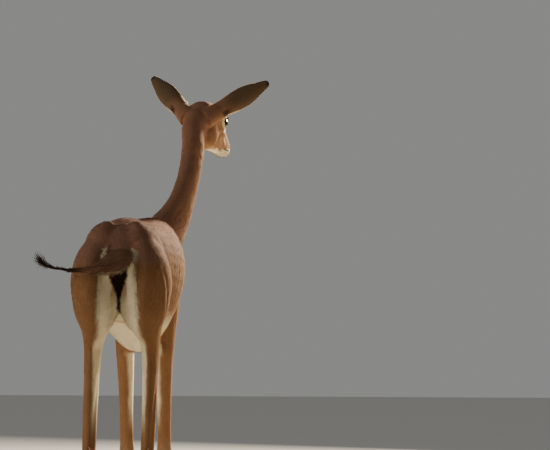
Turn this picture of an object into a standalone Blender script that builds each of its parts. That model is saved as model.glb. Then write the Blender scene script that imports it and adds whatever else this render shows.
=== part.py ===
"""Adult female gerenuk, life size, standing and looking to its right, its tail swung to its left.

The whole animal is modelled as lofted and rounded forms fused into one surface, and then parted
with thin cuts into the pieces that a person would name. The ears, eyes, hooves, tail and tuft are
their own solids. Metres, +Z up. The animal faces -Y, its left side is at +X, and it stands on Z = 0.
"""

import math
import random

import bmesh
import bpy
import numpy as np
from mathutils import Matrix, Vector

# Driving dimensions
SHOULDER_HEIGHT = 0.935
TRUNK_LENGTH = 0.85
BARREL_HALF_WIDTH = 0.118
HEAD_LENGTH = 0.236
EAR_LENGTH = 0.160
EYE_RADIUS = 0.0165

# Working values
GAP = 0.0003
TRIM_GAP = 0.0005
BODY_VOXEL = 0.004
HEAD_VOXEL = 0.0024
RING_POINTS = 32
BODY_SMOOTHING = 10
HEAD_SMOOTHING = 14
TRUNK_TRIANGLES = 4500
LEG_TRIANGLES = 2200
HEAD_TRIANGLES = 1900
LEG_TOP = 0.62
BIG = 0.6

# The head's place and bearing
HEAD_AHEAD, HEAD_RIGHT, HEAD_HEIGHT = 0.985, 0.1093, 1.166
HEAD_TURN_DEG = 14.0
HEAD_DIP_DEG = 22.0

# The spine bends and the chest leans to the right, more the further ahead of BEND_START
BEND_START = 0.15
BEND = 0.020
LEAN = 0.16

COLOURS = {
    "coat": (0.36, 0.19, 0.10),
    "saddle": (0.20, 0.10, 0.065),
    "ear": (0.24, 0.17, 0.12),
    "eye": (0.02, 0.012, 0.008),
    "hoof": (0.035, 0.03, 0.027),
    "tuft": (0.025, 0.02, 0.018),
}

# Trunk sections: ahead as a share of the trunk's length, top and belly as shares of the shoulder's
# height, half width as a share of the barrel's, how much wider above than below
TRUNK = [
    (0.002, 0.928, 0.908, 0.12, 0.00),
    (0.014, 0.939, 0.897, 0.24, 0.00),
    (0.034, 0.950, 0.876, 0.33, 0.00),
    (0.053, 0.962, 0.845, 0.42, 0.00),
    (0.080, 0.981, 0.818, 0.58, 0.00),
    (0.118, 1.001, 0.800, 0.70, -0.05),
    (0.188, 1.016, 0.775, 0.75, -0.05),
    (0.259, 1.023, 0.760, 0.79, -0.05),
    (0.341, 1.016, 0.742, 0.85, -0.03),
    (0.435, 1.006, 0.722, 0.95, 0.02),
    (0.529, 0.999, 0.700, 1.00, 0.08),
    (0.624, 0.995, 0.676, 0.95, 0.14),
    (0.706, 0.996, 0.656, 0.87, 0.18),
    (0.776, 0.999, 0.646, 0.76, 0.20),
    (0.847, 0.990, 0.659, 0.66, 0.18),
    (0.902, 0.966, 0.690, 0.56, 0.12),
    (0.944, 0.934, 0.730, 0.44, 0.05),
    (0.970, 0.898, 0.768, 0.30, 0.00),
    (0.983, 0.864, 0.800, 0.14, 0.00),
]

# Limb sections, from the top down: ahead of the rump, out from the midline, height, half width, half depth
HIND_LEG = [
    (0.155, 0.026, 0.945, 0.016, 0.030),
    (0.148, 0.036, 0.918, 0.036, 0.064),
    (0.140, 0.044, 0.885, 0.046, 0.085),
    (0.128, 0.057, 0.845, 0.055, 0.115),
    (0.120, 0.063, 0.810, 0.057, 0.125),
    (0.118, 0.060, 0.775, 0.057, 0.124),
    (0.122, 0.0595, 0.740, 0.0515, 0.112),
    (0.128, 0.0610, 0.705, 0.0380, 0.098),
    (0.130, 0.066, 0.670, 0.0255, 0.080),
    (0.122, 0.068, 0.630, 0.0210, 0.060),
    (0.098, 0.069, 0.565, 0.0192, 0.042),
    (0.062, 0.069, 0.490, 0.0180, 0.0305),
    (0.030, 0.0685, 0.420, 0.0170, 0.0265),
    (0.012, 0.068, 0.378, 0.0200, 0.0300),
    (0.009, 0.0675, 0.330, 0.0160, 0.0210),
    (0.010, 0.067, 0.250, 0.0130, 0.0152),
    (0.010, 0.0665, 0.150, 0.0130, 0.0148),
    (0.007, 0.066, 0.105, 0.0174, 0.0192),
    (0.022, 0.066, 0.070, 0.0154, 0.0162),
    (0.036, 0.066, 0.040, 0.0190, 0.0197),
    (0.040, 0.066, 0.018, 0.0186, 0.0197),
]
FORE_LEG = [
    (0.655, 0.046, 0.885, 0.030, 0.045),
    (0.678, 0.052, 0.830, 0.034, 0.064),
    (0.702, 0.053, 0.770, 0.0345, 0.074),
    (0.714, 0.051, 0.715, 0.0315, 0.072),
    (0.704, 0.049, 0.660, 0.0270, 0.056),
    (0.697, 0.0475, 0.610, 0.0240, 0.0430),
    (0.700, 0.0465, 0.555, 0.0215, 0.0320),
    (0.704, 0.046, 0.475, 0.0178, 0.0232),
    (0.708, 0.0455, 0.390, 0.0170, 0.0196),
    (0.712, 0.045, 0.350, 0.0202, 0.0226),
    (0.706, 0.045, 0.308, 0.0157, 0.0176),
    (0.705, 0.0445, 0.220, 0.0129, 0.0141),
    (0.705, 0.044, 0.135, 0.0129, 0.0141),
    (0.702, 0.0435, 0.098, 0.0172, 0.0189),
    (0.717, 0.0435, 0.064, 0.0152, 0.0157),
    (0.731, 0.0435, 0.038, 0.0187, 0.0193),
    (0.735, 0.0435, 0.017, 0.0184, 0.0193),
]

# Neck sections: ahead of the rump, to the animal's right, height, half width, half depth
NECK = [
    (0.640, 0.004, 0.775, 0.056, 0.118),
    (0.700, 0.018, 0.822, 0.055, 0.106),
    (0.754, 0.046, 0.876, 0.0440, 0.084),
    (0.800, 0.0755, 0.931, 0.0325, 0.0630),
    (0.845, 0.0915, 0.985, 0.0272, 0.0510),
    (0.885, 0.1005, 1.035, 0.0268, 0.0450),
    (0.922, 0.1050, 1.088, 0.0270, 0.0415),
]
# The neck's last sections lie under the skull: ahead and up in the head's own frame, half width, half depth
NECK_TOP = [
    (-0.012, -0.052, 0.0285, 0.0400),
    (0.004, -0.018, 0.0310, 0.0370),
    (0.022, 0.008, 0.0280, 0.0270),
]

# Head sections in its own frame: ahead, top, underside, half width, how much wider above than below
HEAD = [
    (0.000, 0.024, -0.032, 0.0260, 0.00),
    (0.018, 0.042, -0.052, 0.0345, 0.05),
    (0.045, 0.0505, -0.0640, 0.0385, 0.15),
    (0.075, 0.0520, -0.0630, 0.0400, 0.22),
    (0.100, 0.0485, -0.0570, 0.0390, 0.25),
    (0.125, 0.0410, -0.0500, 0.0330, 0.22),
    (0.150, 0.0330, -0.0440, 0.0270, 0.15),
    (0.175, 0.0262, -0.0390, 0.0232, 0.08),
    (0.200, 0.0200, -0.0355, 0.0210, 0.00),
    (0.218, 0.0135, -0.0325, 0.0195, -0.05),
    (0.230, 0.0045, -0.0275, 0.0158, -0.05),
    (HEAD_LENGTH, -0.0060, -0.0185, 0.0080, 0.00),
]

# Rounded masses on the left side of the body: ahead, out, height, and half sizes the same way
BODY_MASSES = {
    "gluteal": ((0.160, 0.038, 0.878), (0.112, 0.055, 0.071)),
    "buttock": ((0.054, 0.060, 0.810), (0.056, 0.042, 0.080)),
    "hamstring": ((0.062, 0.050, 0.760), (0.050, 0.0455, 0.052)),
    "inner_thigh": ((0.072, 0.030, 0.769), (0.047, 0.0300, 0.072)),
    "hip_bone": ((0.222, 0.050, 0.901), (0.055, 0.030, 0.041)),
    "flank_fold": ((0.200, 0.064, 0.765), (0.060, 0.030, 0.085)),
    "shoulder": ((0.752, 0.046, 0.750), (0.048, 0.030, 0.062)),
    "elbow": ((0.664, 0.050, 0.618), (0.020, 0.012, 0.020)),
    "hock_point": ((-0.010, 0.068, 0.400), (0.0145, 0.0105, 0.036)),
    "fore_dewclaw_out": ((0.688, 0.0525, 0.084), (0.0095, 0.0065, 0.011)),
    "fore_dewclaw_in": ((0.688, 0.0345, 0.084), (0.0095, 0.0065, 0.011)),
    "hind_dewclaw_out": ((-0.008, 0.075, 0.092), (0.0095, 0.0065, 0.011)),
    "hind_dewclaw_in": ((-0.008, 0.057, 0.092), (0.0095, 0.0065, 0.011)),
}
# Rounded masses on the left side of the head: ahead, out, up, and half sizes the same way
HEAD_MASSES = {
    "cheek": ((0.050, 0.0240, -0.028), (0.036, 0.0165, 0.035)),
    "brow": ((0.088, 0.0335, 0.0300), (0.026, 0.0105, 0.0110)),
    "cheek_bone": ((0.108, 0.0290, -0.0060), (0.026, 0.0095, 0.0090)),
    "lip": ((0.205, 0.0120, -0.0200), (0.024, 0.0100, 0.0110)),
}

# Eye: centre in the head's frame and the way it looks
EYE_CENTRE = (0.100, 0.0295, 0.0135)
EYE_LOOK = (0.26, 0.955, 0.10)
LID_THICKNESS = 0.0021
EYE_OPENING_HALF = (0.0135, 0.0098)
EYE_CORNERS = 16
# How far out in eye radii and how large the cut between the lids is, at its inner and outer end
LID_CUT = ((0.45, 0.78), (1.6, 1.35))

# Mouth line from in front of the muzzle to its corner: ahead and up in the head's frame
MOUTH = [(0.2450, -0.0185), (0.2250, -0.0190), (0.2080, -0.0208), (0.1910, -0.0230), (0.1730, -0.0258)]
MOUTH_OPEN = 0.0016
MOUTH_DEPTH = 0.0035
NOSTRIL = ((0.2265, 0.0105, -0.0020), (0.0060, 0.0042, 0.0024))
NOSTRIL_TILT_DEG = (-35.0, -30.0)

# Ears: how far each swings forward of straight out, how high it points, and its roll, in degrees
EAR_ROOT = (0.012, 0.0370, 0.0070)
EARS = {"left": (42.0, 28.0, 36.0), "right": (43.0, 26.0, 18.0)}
EAR_THICKNESS = 0.0024
EAR_BACK = 0.017
# The stalk under each ear: from inside the skull to this share of the ear, and its radius at each end
STALK = ((-0.16, 0.0255), (0.10, 0.0222))
# Ear sections: share of its length, radius of the curled leaf, half the angle that it curls through
EAR = [
    (0.00, 0.0190, 150.0),
    (0.10, 0.0200, 130.0),
    (0.20, 0.0210, 108.0),
    (0.30, 0.0228, 88.0),
    (0.42, 0.0262, 68.0),
    (0.56, 0.0285, 60.0),
    (0.70, 0.0265, 53.0),
    (0.82, 0.0215, 46.0),
    (0.92, 0.0178, 40.0),
    (0.97, 0.0142, 37.0),
    (1.00, 0.0085, 32.0),
]

# Tail: ahead of the rump, to the animal's left, height, half width across, half depth
TAIL = [
    (0.045, -0.008, 0.884, 0.020, 0.0120),
    (0.020, -0.008, 0.877, 0.029, 0.0140),
    (-0.002, -0.001, 0.867, 0.031, 0.0125),
    (-0.016, 0.020, 0.855, 0.0230, 0.0100),
    (-0.025, 0.044, 0.849, 0.0132, 0.0082),
    (-0.030, 0.074, 0.845, 0.0078, 0.0068),
    (-0.028, 0.105, 0.843, 0.0060, 0.0056),
]
TUFT_PATH = [
    (-0.0279, 0.1055, 0.8430),
    (-0.0230, 0.135, 0.8460),
    (-0.0160, 0.157, 0.8510),
    (-0.0080, 0.173, 0.8600),
    (0.0000, 0.183, 0.8760),
]
TUFT_CORE = 0.0058
TUFT_LOCKS = 17
TUFT_LOCK_LENGTH = 0.055
# Where along the core the first and last locks are, the turn from one to the next, and how they stand
TUFT_SPAN = (0.06, 0.92)
TUFT_TURN = 2.4
TUFT_OUT = 0.22
TUFT_BEND = -0.10
KNEE_LOCKS = 9
KNEE_LOCK_LENGTH = 0.024
KNEE_HEIGHT = 0.372
KNEE_ROW = 0.013
KNEE_MIDDLE = (0.7105, 0.045)
KNEE_RADII = (0.0165, 0.0185)
KNEE_TURN_DEG = 34
KNEE_OUT = 0.42
KNEE_BEND = -0.12
LOCK_WIDTH = 0.0085
LOCK_THICKNESS = 0.0031
# A lock's width along it: share of its length, share of the full width
LOCK_PROFILE = [(0.0, 0.75), (0.35, 1.0), (0.75, 0.6), (1.0, 0.08)]

# Hooves: the coronet's height and slope, and one half-hoof's sizes
CORONET_HEIGHT = 0.036
CORONET_SLOPE_DEG = 14.0
HOOF_HALF_WIDTH = 0.0092
HOOF_TOE = 0.034
HOOF_HEEL = 0.020
HOOF_SPREAD = 0.0100
# A hoof's sections: height, how far ahead, share of the length and of the width at the sole
HOOF_SECTIONS = [(0.0, 0.004, 1.0, 1.0), (0.010, 0.0035, 0.985, 1.0), (0.060, -0.018, 0.76, 0.94)]

# Where the limbs part from the trunk, on the left: out from the midline and height of the cut's top,
# and the cuts before and behind: how far ahead at the foot, lean as they rise, and side kept
HIND_PART = ([(0.001, 0.700), (0.118, 0.900)], [(0.268, -0.36, -1)])
FORE_PART = ([(0.001, 0.600), (0.024, 0.608), (0.090, 0.800)], [(0.830, -0.10, -1), (0.618, 0.33, 1)])
NECK_PART = ((0.790, -0.065, 0.915), (0.60, -0.28, 0.75))
HEAD_PART = ((0.905, -0.1020, 1.062), (0.60, -0.06, 0.80))


def place(ahead, left, height):
    """A point from its distance ahead of the rump, to the animal's left and above the ground."""
    return Vector((left, -ahead, height))


def bend(ahead):
    """How far the spine is to the right of the pelvis's midline."""
    return BEND * max(0.0, ahead - BEND_START) ** 2


def body_place(ahead, out, height):
    """A point of the body from its distance ahead, out to the left of the spine and above the ground."""
    return place(ahead, out - bend(ahead), height)


def head_axes():
    """Matrix from the head's own frame (ahead, left, up) to the model's."""
    turn, dip = math.radians(HEAD_TURN_DEG), math.radians(HEAD_DIP_DEG)
    ahead = Vector((-math.sin(turn) * math.cos(dip), -math.cos(turn) * math.cos(dip), -math.sin(dip)))
    left = Vector((math.cos(turn), -math.sin(turn), 0.0))
    up = ahead.cross(left)
    return Matrix((ahead, left, up)).transposed()


HEAD_ORIGIN = place(HEAD_AHEAD, -HEAD_RIGHT, HEAD_HEIGHT)
HEAD_AXES = head_axes()


def head_place(ahead, left, up):
    return HEAD_ORIGIN + HEAD_AXES @ Vector((ahead, left, up))


def smooth_rows(rows, parts):
    """The rows with parts - 1 more between each two, on a curve through them."""
    table = np.array(rows, float)
    table = np.vstack([2 * table[0] - table[1], table, 2 * table[-1] - table[-2]])
    made = []
    for i in range(1, len(table) - 2):
        before, start, end, after = table[i - 1 : i + 3]
        for k in range(parts):
            t = k / parts
            made.append(
                0.5
                * (
                    2 * start
                    + (end - before) * t
                    + (2 * before - 5 * start + 4 * end - after) * t**2
                    + (3 * start - before - 3 * end + after) * t**3
                )
            )
    made.append(table[-2])
    return made


def ring(centre, side, up, half_width, rise, drop, power=2.0, taper=0.0, count=RING_POINTS):
    """A closed egg-shaped section: half_width along side, rise and drop along up, wider above by taper."""
    points = []
    for k in range(count):
        turn = 2 * math.pi * k / count
        across = math.copysign(abs(math.cos(turn)) ** (2 / power), math.cos(turn))
        along = math.copysign(abs(math.sin(turn)) ** (2 / power), math.sin(turn))
        across *= half_width * (1 + taper * along)
        points.append(centre + side * across + up * (along * (rise if along > 0 else drop)))
    return points


def new_object(name, bm):
    mesh = bpy.data.meshes.new(name)
    bmesh.ops.recalc_face_normals(bm, faces=bm.faces)
    bm.to_mesh(mesh)
    bm.free()
    made = bpy.data.objects.new(name, mesh)
    bpy.context.scene.collection.objects.link(made)
    return made


def loft(name, rings):
    """A closed form through sections of equal count, with a point at each end's middle."""
    bm = bmesh.new()
    loops = [[bm.verts.new(p) for p in points] for points in rings]
    count = len(rings[0])
    for lower, upper in zip(loops, loops[1:]):
        for k in range(count):
            after = (k + 1) % count
            bm.faces.new((lower[k], lower[after], upper[after], upper[k]))
    for loop, points in ((loops[0], rings[0]), (loops[-1], rings[-1])):
        middle = bm.verts.new(sum(points, Vector()) / count)
        for k in range(count):
            bm.faces.new((loop[k], loop[(k + 1) % count], middle))
    return new_object(name, bm)


def tube(name, centres, half_widths, half_depths, sides, count=RING_POINTS):
    """A loft along a path, each section square to it and its width as near as can be to its side."""
    rings = []
    for i, centre in enumerate(centres):
        along = (centres[min(i + 1, len(centres) - 1)] - centres[max(i - 1, 0)]).normalized()
        side = (sides[i] - along * sides[i].dot(along)).normalized()
        up = side.cross(along)
        rings.append(ring(centre, side, up, half_widths[i], half_depths[i], half_depths[i], count=count))
    return loft(name, rings)


def rounded(name, centre, axes, half_sizes, segments=24):
    """An ellipsoid with its half sizes along the columns of axes."""
    bm = bmesh.new()
    bmesh.ops.create_uvsphere(bm, u_segments=segments, v_segments=segments // 2, radius=1.0)
    bmesh.ops.scale(bm, vec=half_sizes, verts=bm.verts)
    bmesh.ops.transform(bm, matrix=Matrix.Translation(centre) @ axes.to_4x4(), verts=bm.verts)
    return new_object(name, bm)


def prism(name, corners, start, end):
    """A solid with the outline corners, each moved by start and by end."""
    bm = bmesh.new()
    base = [bm.verts.new(c + start) for c in corners]
    face = bm.faces.new(base)
    moved = bmesh.ops.extrude_face_region(bm, geom=[face])["geom"]
    top = [v for v in moved if isinstance(v, bmesh.types.BMVert)]
    bmesh.ops.translate(bm, vec=end - start, verts=top)
    bmesh.ops.triangulate(bm, faces=bm.faces)
    return new_object(name, bm)


def half_space(name, point, normal):
    """A big box on the side of the plane that normal points to."""
    side = normal.orthogonal().normalized()
    other = normal.normalized().cross(side)
    corners = [point + side * (BIG * a) + other * (BIG * b) for a, b in ((-1, -1), (1, -1), (1, 1), (-1, 1))]
    return prism(name, corners, Vector(), normal.normalized() * BIG)


def settle(target):
    """Replaces the object's mesh by what its modifiers make of it."""
    bpy.context.view_layer.update()
    graph = bpy.context.evaluated_depsgraph_get()
    mesh = bpy.data.meshes.new_from_object(target.evaluated_get(graph))
    target.modifiers.clear()
    target.data = mesh


def combine(target, other, operation, solver="EXACT"):
    """Cuts, joins or crosses the target with another closed form, which is used up."""
    modifier = target.modifiers.new(operation, "BOOLEAN")
    modifier.operation = operation
    modifier.solver = solver
    modifier.object = other
    settle(target)
    bpy.data.objects.remove(other)


def fuse(target, pieces, solver="EXACT"):
    """Joins closed pieces to the target with one union, and removes them."""
    group = bpy.data.collections.new("pieces")
    bpy.context.scene.collection.children.link(group)
    for piece in pieces:
        bpy.context.scene.collection.objects.unlink(piece)
        group.objects.link(piece)
    modifier = target.modifiers.new("fuse", "BOOLEAN")
    modifier.operation = "UNION"
    modifier.operand_type = "COLLECTION"
    modifier.solver = solver
    modifier.collection = group
    settle(target)
    for piece in pieces:
        bpy.data.objects.remove(piece)
    bpy.data.collections.remove(group)


def keep_largest(target):
    """Keeps the largest closed surface of the object."""
    bm = bmesh.new()
    bm.from_mesh(target.data)
    left = set(bm.faces)
    shells = []
    while left:
        front = [left.pop()]
        shell = set(front)
        while front:
            for edge in front.pop().edges:
                for face in edge.link_faces:
                    if face in left:
                        left.discard(face)
                        shell.add(face)
                        front.append(face)
        shells.append(shell)
    shells.sort(key=lambda shell: sum(face.calc_area() for face in shell))
    loose = [face for shell in shells[:-1] for face in shell]
    bmesh.ops.delete(bm, geom=loose, context="FACES")
    bm.to_mesh(target.data)
    bm.free()


def copy_of(source, name):
    made = bpy.data.objects.new(name, source.data.copy())
    bpy.context.scene.collection.objects.link(made)
    return made


def grown(source, name, distance):
    """A copy of the object with its surface moved out."""
    made = copy_of(source, name)
    bm = bmesh.new()
    bm.from_mesh(made.data)
    bm.normal_update()
    for vert in bm.verts:
        vert.co += vert.normal * distance
    bm.to_mesh(made.data)
    bm.free()
    return made


def trunk():
    rings = []
    for ahead, top, belly, half_width, taper in smooth_rows(TRUNK, 2):
        ahead, top, belly = ahead * TRUNK_LENGTH, top * SHOULDER_HEIGHT, belly * SHOULDER_HEIGHT
        centre = body_place(ahead, 0.0, (top + belly) / 2)
        half = (top - belly) / 2
        up = Vector((-LEAN * max(0.0, ahead - BEND_START), 0.0, 1.0))
        width = half_width * BARREL_HALF_WIDTH
        rings.append(ring(centre, Vector((1, 0, 0)), up, width, half, half, 2.1, taper))
    return loft("trunk", rings)


def limb(name, rows, side):
    rows = smooth_rows(rows, 3)
    centres = [body_place(r[0], side * r[1], r[2]) for r in rows]
    return tube(name, centres, [r[3] for r in rows], [r[4] for r in rows], [Vector((1, 0, 0))] * len(rows))


def neck_rows():
    rows = smooth_rows(NECK, 3)
    centres = [place(r[0], -r[1], r[2]) for r in rows]
    widths = [r[3] for r in rows] + [r[2] for r in NECK_TOP]
    depths = [r[4] for r in rows] + [r[3] for r in NECK_TOP]
    centres += [head_place(ahead, 0.0, up) for ahead, up, _, _ in NECK_TOP]
    sides = [Vector((1, 0, 0)).lerp(HEAD_AXES.col[1], i / (len(centres) - 1)) for i in range(len(centres))]
    return centres, widths, depths, sides


def neck():
    return tube("neck", *neck_rows())


def neck_top():
    return tube("neck", *[column[-12:] for column in neck_rows()])


def head():
    side, up = HEAD_AXES.col[1], HEAD_AXES.col[2]
    rings = []
    for ahead, top, under, half_width, taper in smooth_rows(HEAD, 3):
        half = (top - under) / 2
        centre = head_place(ahead, 0.0, (top + under) / 2)
        rings.append(ring(centre, side, up, half_width, half, half, 2.25, taper))
    return loft("head", rings)


def ear_frame(word):
    """The ear's root and axes: its width, the way that it opens and the way to its tip."""
    side = 1 if word == "left" else -1
    forward_deg, rise_deg, roll_deg = EARS[word]
    swing, rise, roll = math.radians(forward_deg), math.radians(rise_deg), math.radians(roll_deg)
    turn = math.radians(HEAD_TURN_DEG)
    ahead = Vector((-math.sin(turn), -math.cos(turn), 0.0))
    out = Vector((math.cos(turn), -math.sin(turn), 0.0)) * side
    level = out * math.cos(swing) + ahead * math.sin(swing)
    along = level * math.cos(rise) + Vector((0, 0, math.sin(rise)))
    facing = ahead * math.cos(swing) - out * math.sin(swing)
    facing = Matrix.Rotation(roll * side, 3, along) @ facing
    across = facing.cross(along)
    root = head_place(EAR_ROOT[0], side * EAR_ROOT[1], EAR_ROOT[2])
    return root, Matrix((across, facing, along)).transposed()


def ear_stalk(word):
    """The round base of an ear, which stands out from the skull."""
    root, axes = ear_frame(word)
    middle = EAR[0][1] - EAR_BACK
    rings = []
    for share, radius in smooth_rows(STALK, 3):
        centre = root + axes @ Vector((0.0, middle, share * EAR_LENGTH))
        rings.append(ring(centre, axes.col[0], axes.col[1], radius, radius, radius))
    return loft("stalk", rings)


def head_masses():
    made = [ear_stalk("left"), ear_stalk("right")]
    for side in (1, -1):
        for name, (centre, half_sizes) in HEAD_MASSES.items():
            ahead, out, up = centre
            made.append(rounded(name, head_place(ahead, side * out, up), HEAD_AXES, half_sizes))
        ahead, out, up = EYE_CENTRE
        lid = EYE_RADIUS + LID_THICKNESS
        made.append(rounded("lid", head_place(ahead, side * out, up), HEAD_AXES, (lid, lid, lid)))
    return made


def masses():
    upright = Matrix(((0, 1, 0), (-1, 0, 0), (0, 0, 1)))
    made = head_masses()
    for side in (1, -1):
        for name, (centre, half_sizes) in BODY_MASSES.items():
            ahead, out, height = centre
            made.append(rounded(name, body_place(ahead, side * out, height), upright, half_sizes))
    return made


def free_share(point):
    """How freely the surface may be smoothed: fully on the trunk, little on the slender legs."""
    return min(1.0, max(0.2, (point.z - LEG_TOP + 0.17) / 0.20))


def group_by(target, name, weight):
    group = target.vertex_groups.new(name=name)
    for vert in target.data.vertices:
        group.add([vert.index], float(weight(vert.co)), "REPLACE")


def thin_out(target, inside, triangles):
    """Merges facets in one region of a mesh until it has about that many triangles there."""
    group_by(target, "thin", inside)
    flags = [inside(v.co) for v in target.data.vertices]
    counts = [0, 0]
    for face in target.data.polygons:
        counts[flags[face.vertices[0]]] += len(face.vertices) - 2
    decimate = target.modifiers.new("thin", "DECIMATE")
    decimate.ratio = (counts[0] + triangles) / (counts[0] + counts[1])
    decimate.vertex_group = "thin"
    settle(target)
    target.vertex_groups.clear()


def blend(name, forms, voxel, rounds):
    """Overlapping closed forms made into one closed surface with its creases smoothed."""
    bm = bmesh.new()
    for form in forms:
        bm.from_mesh(form.data)
        bpy.data.objects.remove(form)
    blended = new_object(name, bm)
    remesh = blended.modifiers.new("remesh", "REMESH")
    remesh.mode = "VOXEL"
    remesh.voxel_size = voxel
    settle(blended)
    keep_largest(blended)
    group_by(blended, "free", free_share)
    smooth = blended.modifiers.new("smooth", "SMOOTH")
    smooth.factor = 0.5
    smooth.iterations = rounds
    smooth.vertex_group = "free"
    settle(blended)
    blended.vertex_groups.clear()
    return blended


def body_and_head():
    """The body with all its limbs, and the head with the top of the neck in finer detail."""
    forms = [trunk(), neck(), head(), *masses()]
    for side in (1, -1):
        forms += [limb("hind", HIND_LEG, side), limb("fore", FORE_LEG, side)]
    body = blend("body", forms, BODY_VOXEL, BODY_SMOOTHING)
    thin_out(body, lambda point: point.z < LEG_TOP, LEG_TRIANGLES)
    thin_out(body, lambda point: point.z >= LEG_TOP, TRUNK_TRIANGLES)
    skull = blend("skull", [neck_top(), head(), *head_masses()], HEAD_VOXEL, HEAD_SMOOTHING)
    thin_out(skull, lambda point: True, HEAD_TRIANGLES)
    return body, skull


def limb_region(side, outline, cuts, inset):
    """The space of one leg, bounded by the sloping cuts round its top, drawn in by inset."""
    low, far = -0.05, 0.4
    corners = [(outline[0][0], low), *outline, (far, outline[-1][1]), (far, low)]
    start = cuts[0][0] - far
    middle = bend(cuts[0][0])
    drawn_in = [(out if out == far else out + inset, height) for out, height in corners]
    corners = [place(0.0, side * out - middle, height) for out, height in drawn_in]
    made = prism("region", corners, place(start, 0, 0), place(start + 2 * far, 0, 0))
    for ahead, lean, kept in cuts:
        way = place(kept, 0.0, -kept * lean).normalized()
        point = place(ahead, 0.0, outline[0][1]) + way * inset
        combine(made, half_space("cut", point, way), "INTERSECT")
    return made


def part_off(body, name, region_of):
    """Cuts the piece that lies in a region from the body, leaving a gap between them."""
    piece = copy_of(body, name)
    combine(piece, region_of(GAP), "INTERSECT")
    keep_largest(piece)
    combine(body, region_of(0.0), "DIFFERENCE")
    keep_largest(body)
    return piece


def part_body(body, skull):
    """The named pieces of the body, and the head."""
    pieces = {}
    for word, side in (("left", 1), ("right", -1)):
        for kind, cuts in (("hindleg", HIND_PART), ("foreleg", FORE_PART)):
            name = f"{kind}_{word}"
            pieces[name] = part_off(body, name, lambda inset: limb_region(side, *cuts, inset))
    cut_point = place(*NECK_PART[0])
    cut_way = place(*NECK_PART[1]).normalized()
    upper = part_off(body, "neck", lambda inset: half_space("region", cut_point + cut_way * inset, cut_way))
    head_point = place(*HEAD_PART[0])
    head_way = place(*HEAD_PART[1]).normalized()
    combine(upper, half_space("region", head_point, -head_way), "INTERSECT")
    keep_largest(upper)
    combine(skull, half_space("region", head_point + head_way * GAP, head_way), "INTERSECT")
    keep_largest(skull)
    pieces["head"] = skull
    pieces["neck"] = upper
    body.name = "torso"
    pieces["torso"] = body
    return pieces


def eye_frame(side):
    """The eye's middle, and axes whose third column is the way that it looks."""
    look = (HEAD_AXES @ Vector((EYE_LOOK[0], side * EYE_LOOK[1], EYE_LOOK[2]))).normalized()
    ahead = HEAD_AXES.col[0]
    ahead = (ahead - look * ahead.dot(look)).normalized()
    up = look.cross(ahead) * side
    centre = head_place(EYE_CENTRE[0], side * EYE_CENTRE[1], EYE_CENTRE[2])
    return centre, Matrix((ahead, up, look)).transposed()


def eyeball(name, side, radius):
    centre, axes = eye_frame(side)
    bm = bmesh.new()
    bmesh.ops.create_uvsphere(bm, u_segments=14, v_segments=10, radius=radius)
    bmesh.ops.transform(bm, matrix=Matrix.Translation(centre) @ axes.to_4x4(), verts=bm.verts)
    return new_object(name, bm)


def lid_opening(side):
    """A flared almond that opens the lids over the eyeball."""
    centre, axes = eye_frame(side)
    rings = []
    for depth, scale in LID_CUT:
        points = []
        for k in range(EYE_CORNERS):
            turn = 2 * math.pi * k / EYE_CORNERS
            across = EYE_OPENING_HALF[0] * math.cos(turn)
            along = EYE_OPENING_HALF[1] * math.copysign(abs(math.sin(turn)) ** 1.25, math.sin(turn))
            points.append(centre + axes @ Vector((across * scale, along * scale, EYE_RADIUS * depth)))
        rings.append(points)
    return loft("opening", rings)


def mouth_slot(skull):
    """The shallow slot between the lips, as deep all round the muzzle."""
    line = smooth_rows(MOUTH, 3)
    outline = [(ahead, up + MOUTH_OPEN / 2) for ahead, up in line[:-1]] + [tuple(line[-1])]
    outline += [(ahead, up - MOUTH_OPEN / 2) for ahead, up in reversed(line[:-1])]
    corners = [head_place(ahead, 0.0, up) for ahead, up in outline]
    slot = prism("slot", corners, HEAD_AXES.col[1] * -0.05, HEAD_AXES.col[1] * 0.05)
    combine(slot, grown(skull, "within", -MOUTH_DEPTH), "DIFFERENCE", "MANIFOLD")
    return slot


def finish_head(skull):
    """Eye sockets behind open lids, nostrils and the line of the mouth."""
    combine(skull, mouth_slot(skull), "DIFFERENCE", "MANIFOLD")
    for side in (1, -1):
        combine(skull, eyeball("socket", side, EYE_RADIUS + GAP), "DIFFERENCE", "MANIFOLD")
        combine(skull, lid_opening(side), "DIFFERENCE", "MANIFOLD")
        (ahead, out, up), half_sizes = NOSTRIL
        dip, swing = [math.radians(angle) for angle in NOSTRIL_TILT_DEG]
        axes = HEAD_AXES @ Matrix.Rotation(dip, 3, "Y") @ Matrix.Rotation(side * swing, 3, "Z")
        pit = rounded("nostril", head_place(ahead, side * out, up), axes, half_sizes, 12)
        combine(skull, pit, "DIFFERENCE", "MANIFOLD")
    keep_largest(skull)


def ear(word):
    """A curled leaf, a tube at its root and open towards its tip."""
    root, axes = ear_frame(word)
    bm = bmesh.new()
    steps = 10
    loops = []
    for share, radius, half_angle in smooth_rows(EAR, 2):
        loop = []
        for k in range(steps + 1):
            turn = math.radians(half_angle) * (2 * k / steps - 1)
            open_way = radius * (1 - math.cos(turn)) - EAR_BACK
            point = Vector((radius * math.sin(turn), open_way, share * EAR_LENGTH))
            loop.append(bm.verts.new(root + axes @ point))
        loops.append(loop)
    for lower, upper in zip(loops, loops[1:]):
        for k in range(steps):
            bm.faces.new((lower[k], lower[k + 1], upper[k + 1], upper[k]))
    made = new_object(f"ear_{word}", bm)
    shell = made.modifiers.new("thickness", "SOLIDIFY")
    shell.thickness = EAR_THICKNESS
    shell.offset = 0.0
    settle(made)
    return made


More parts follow.
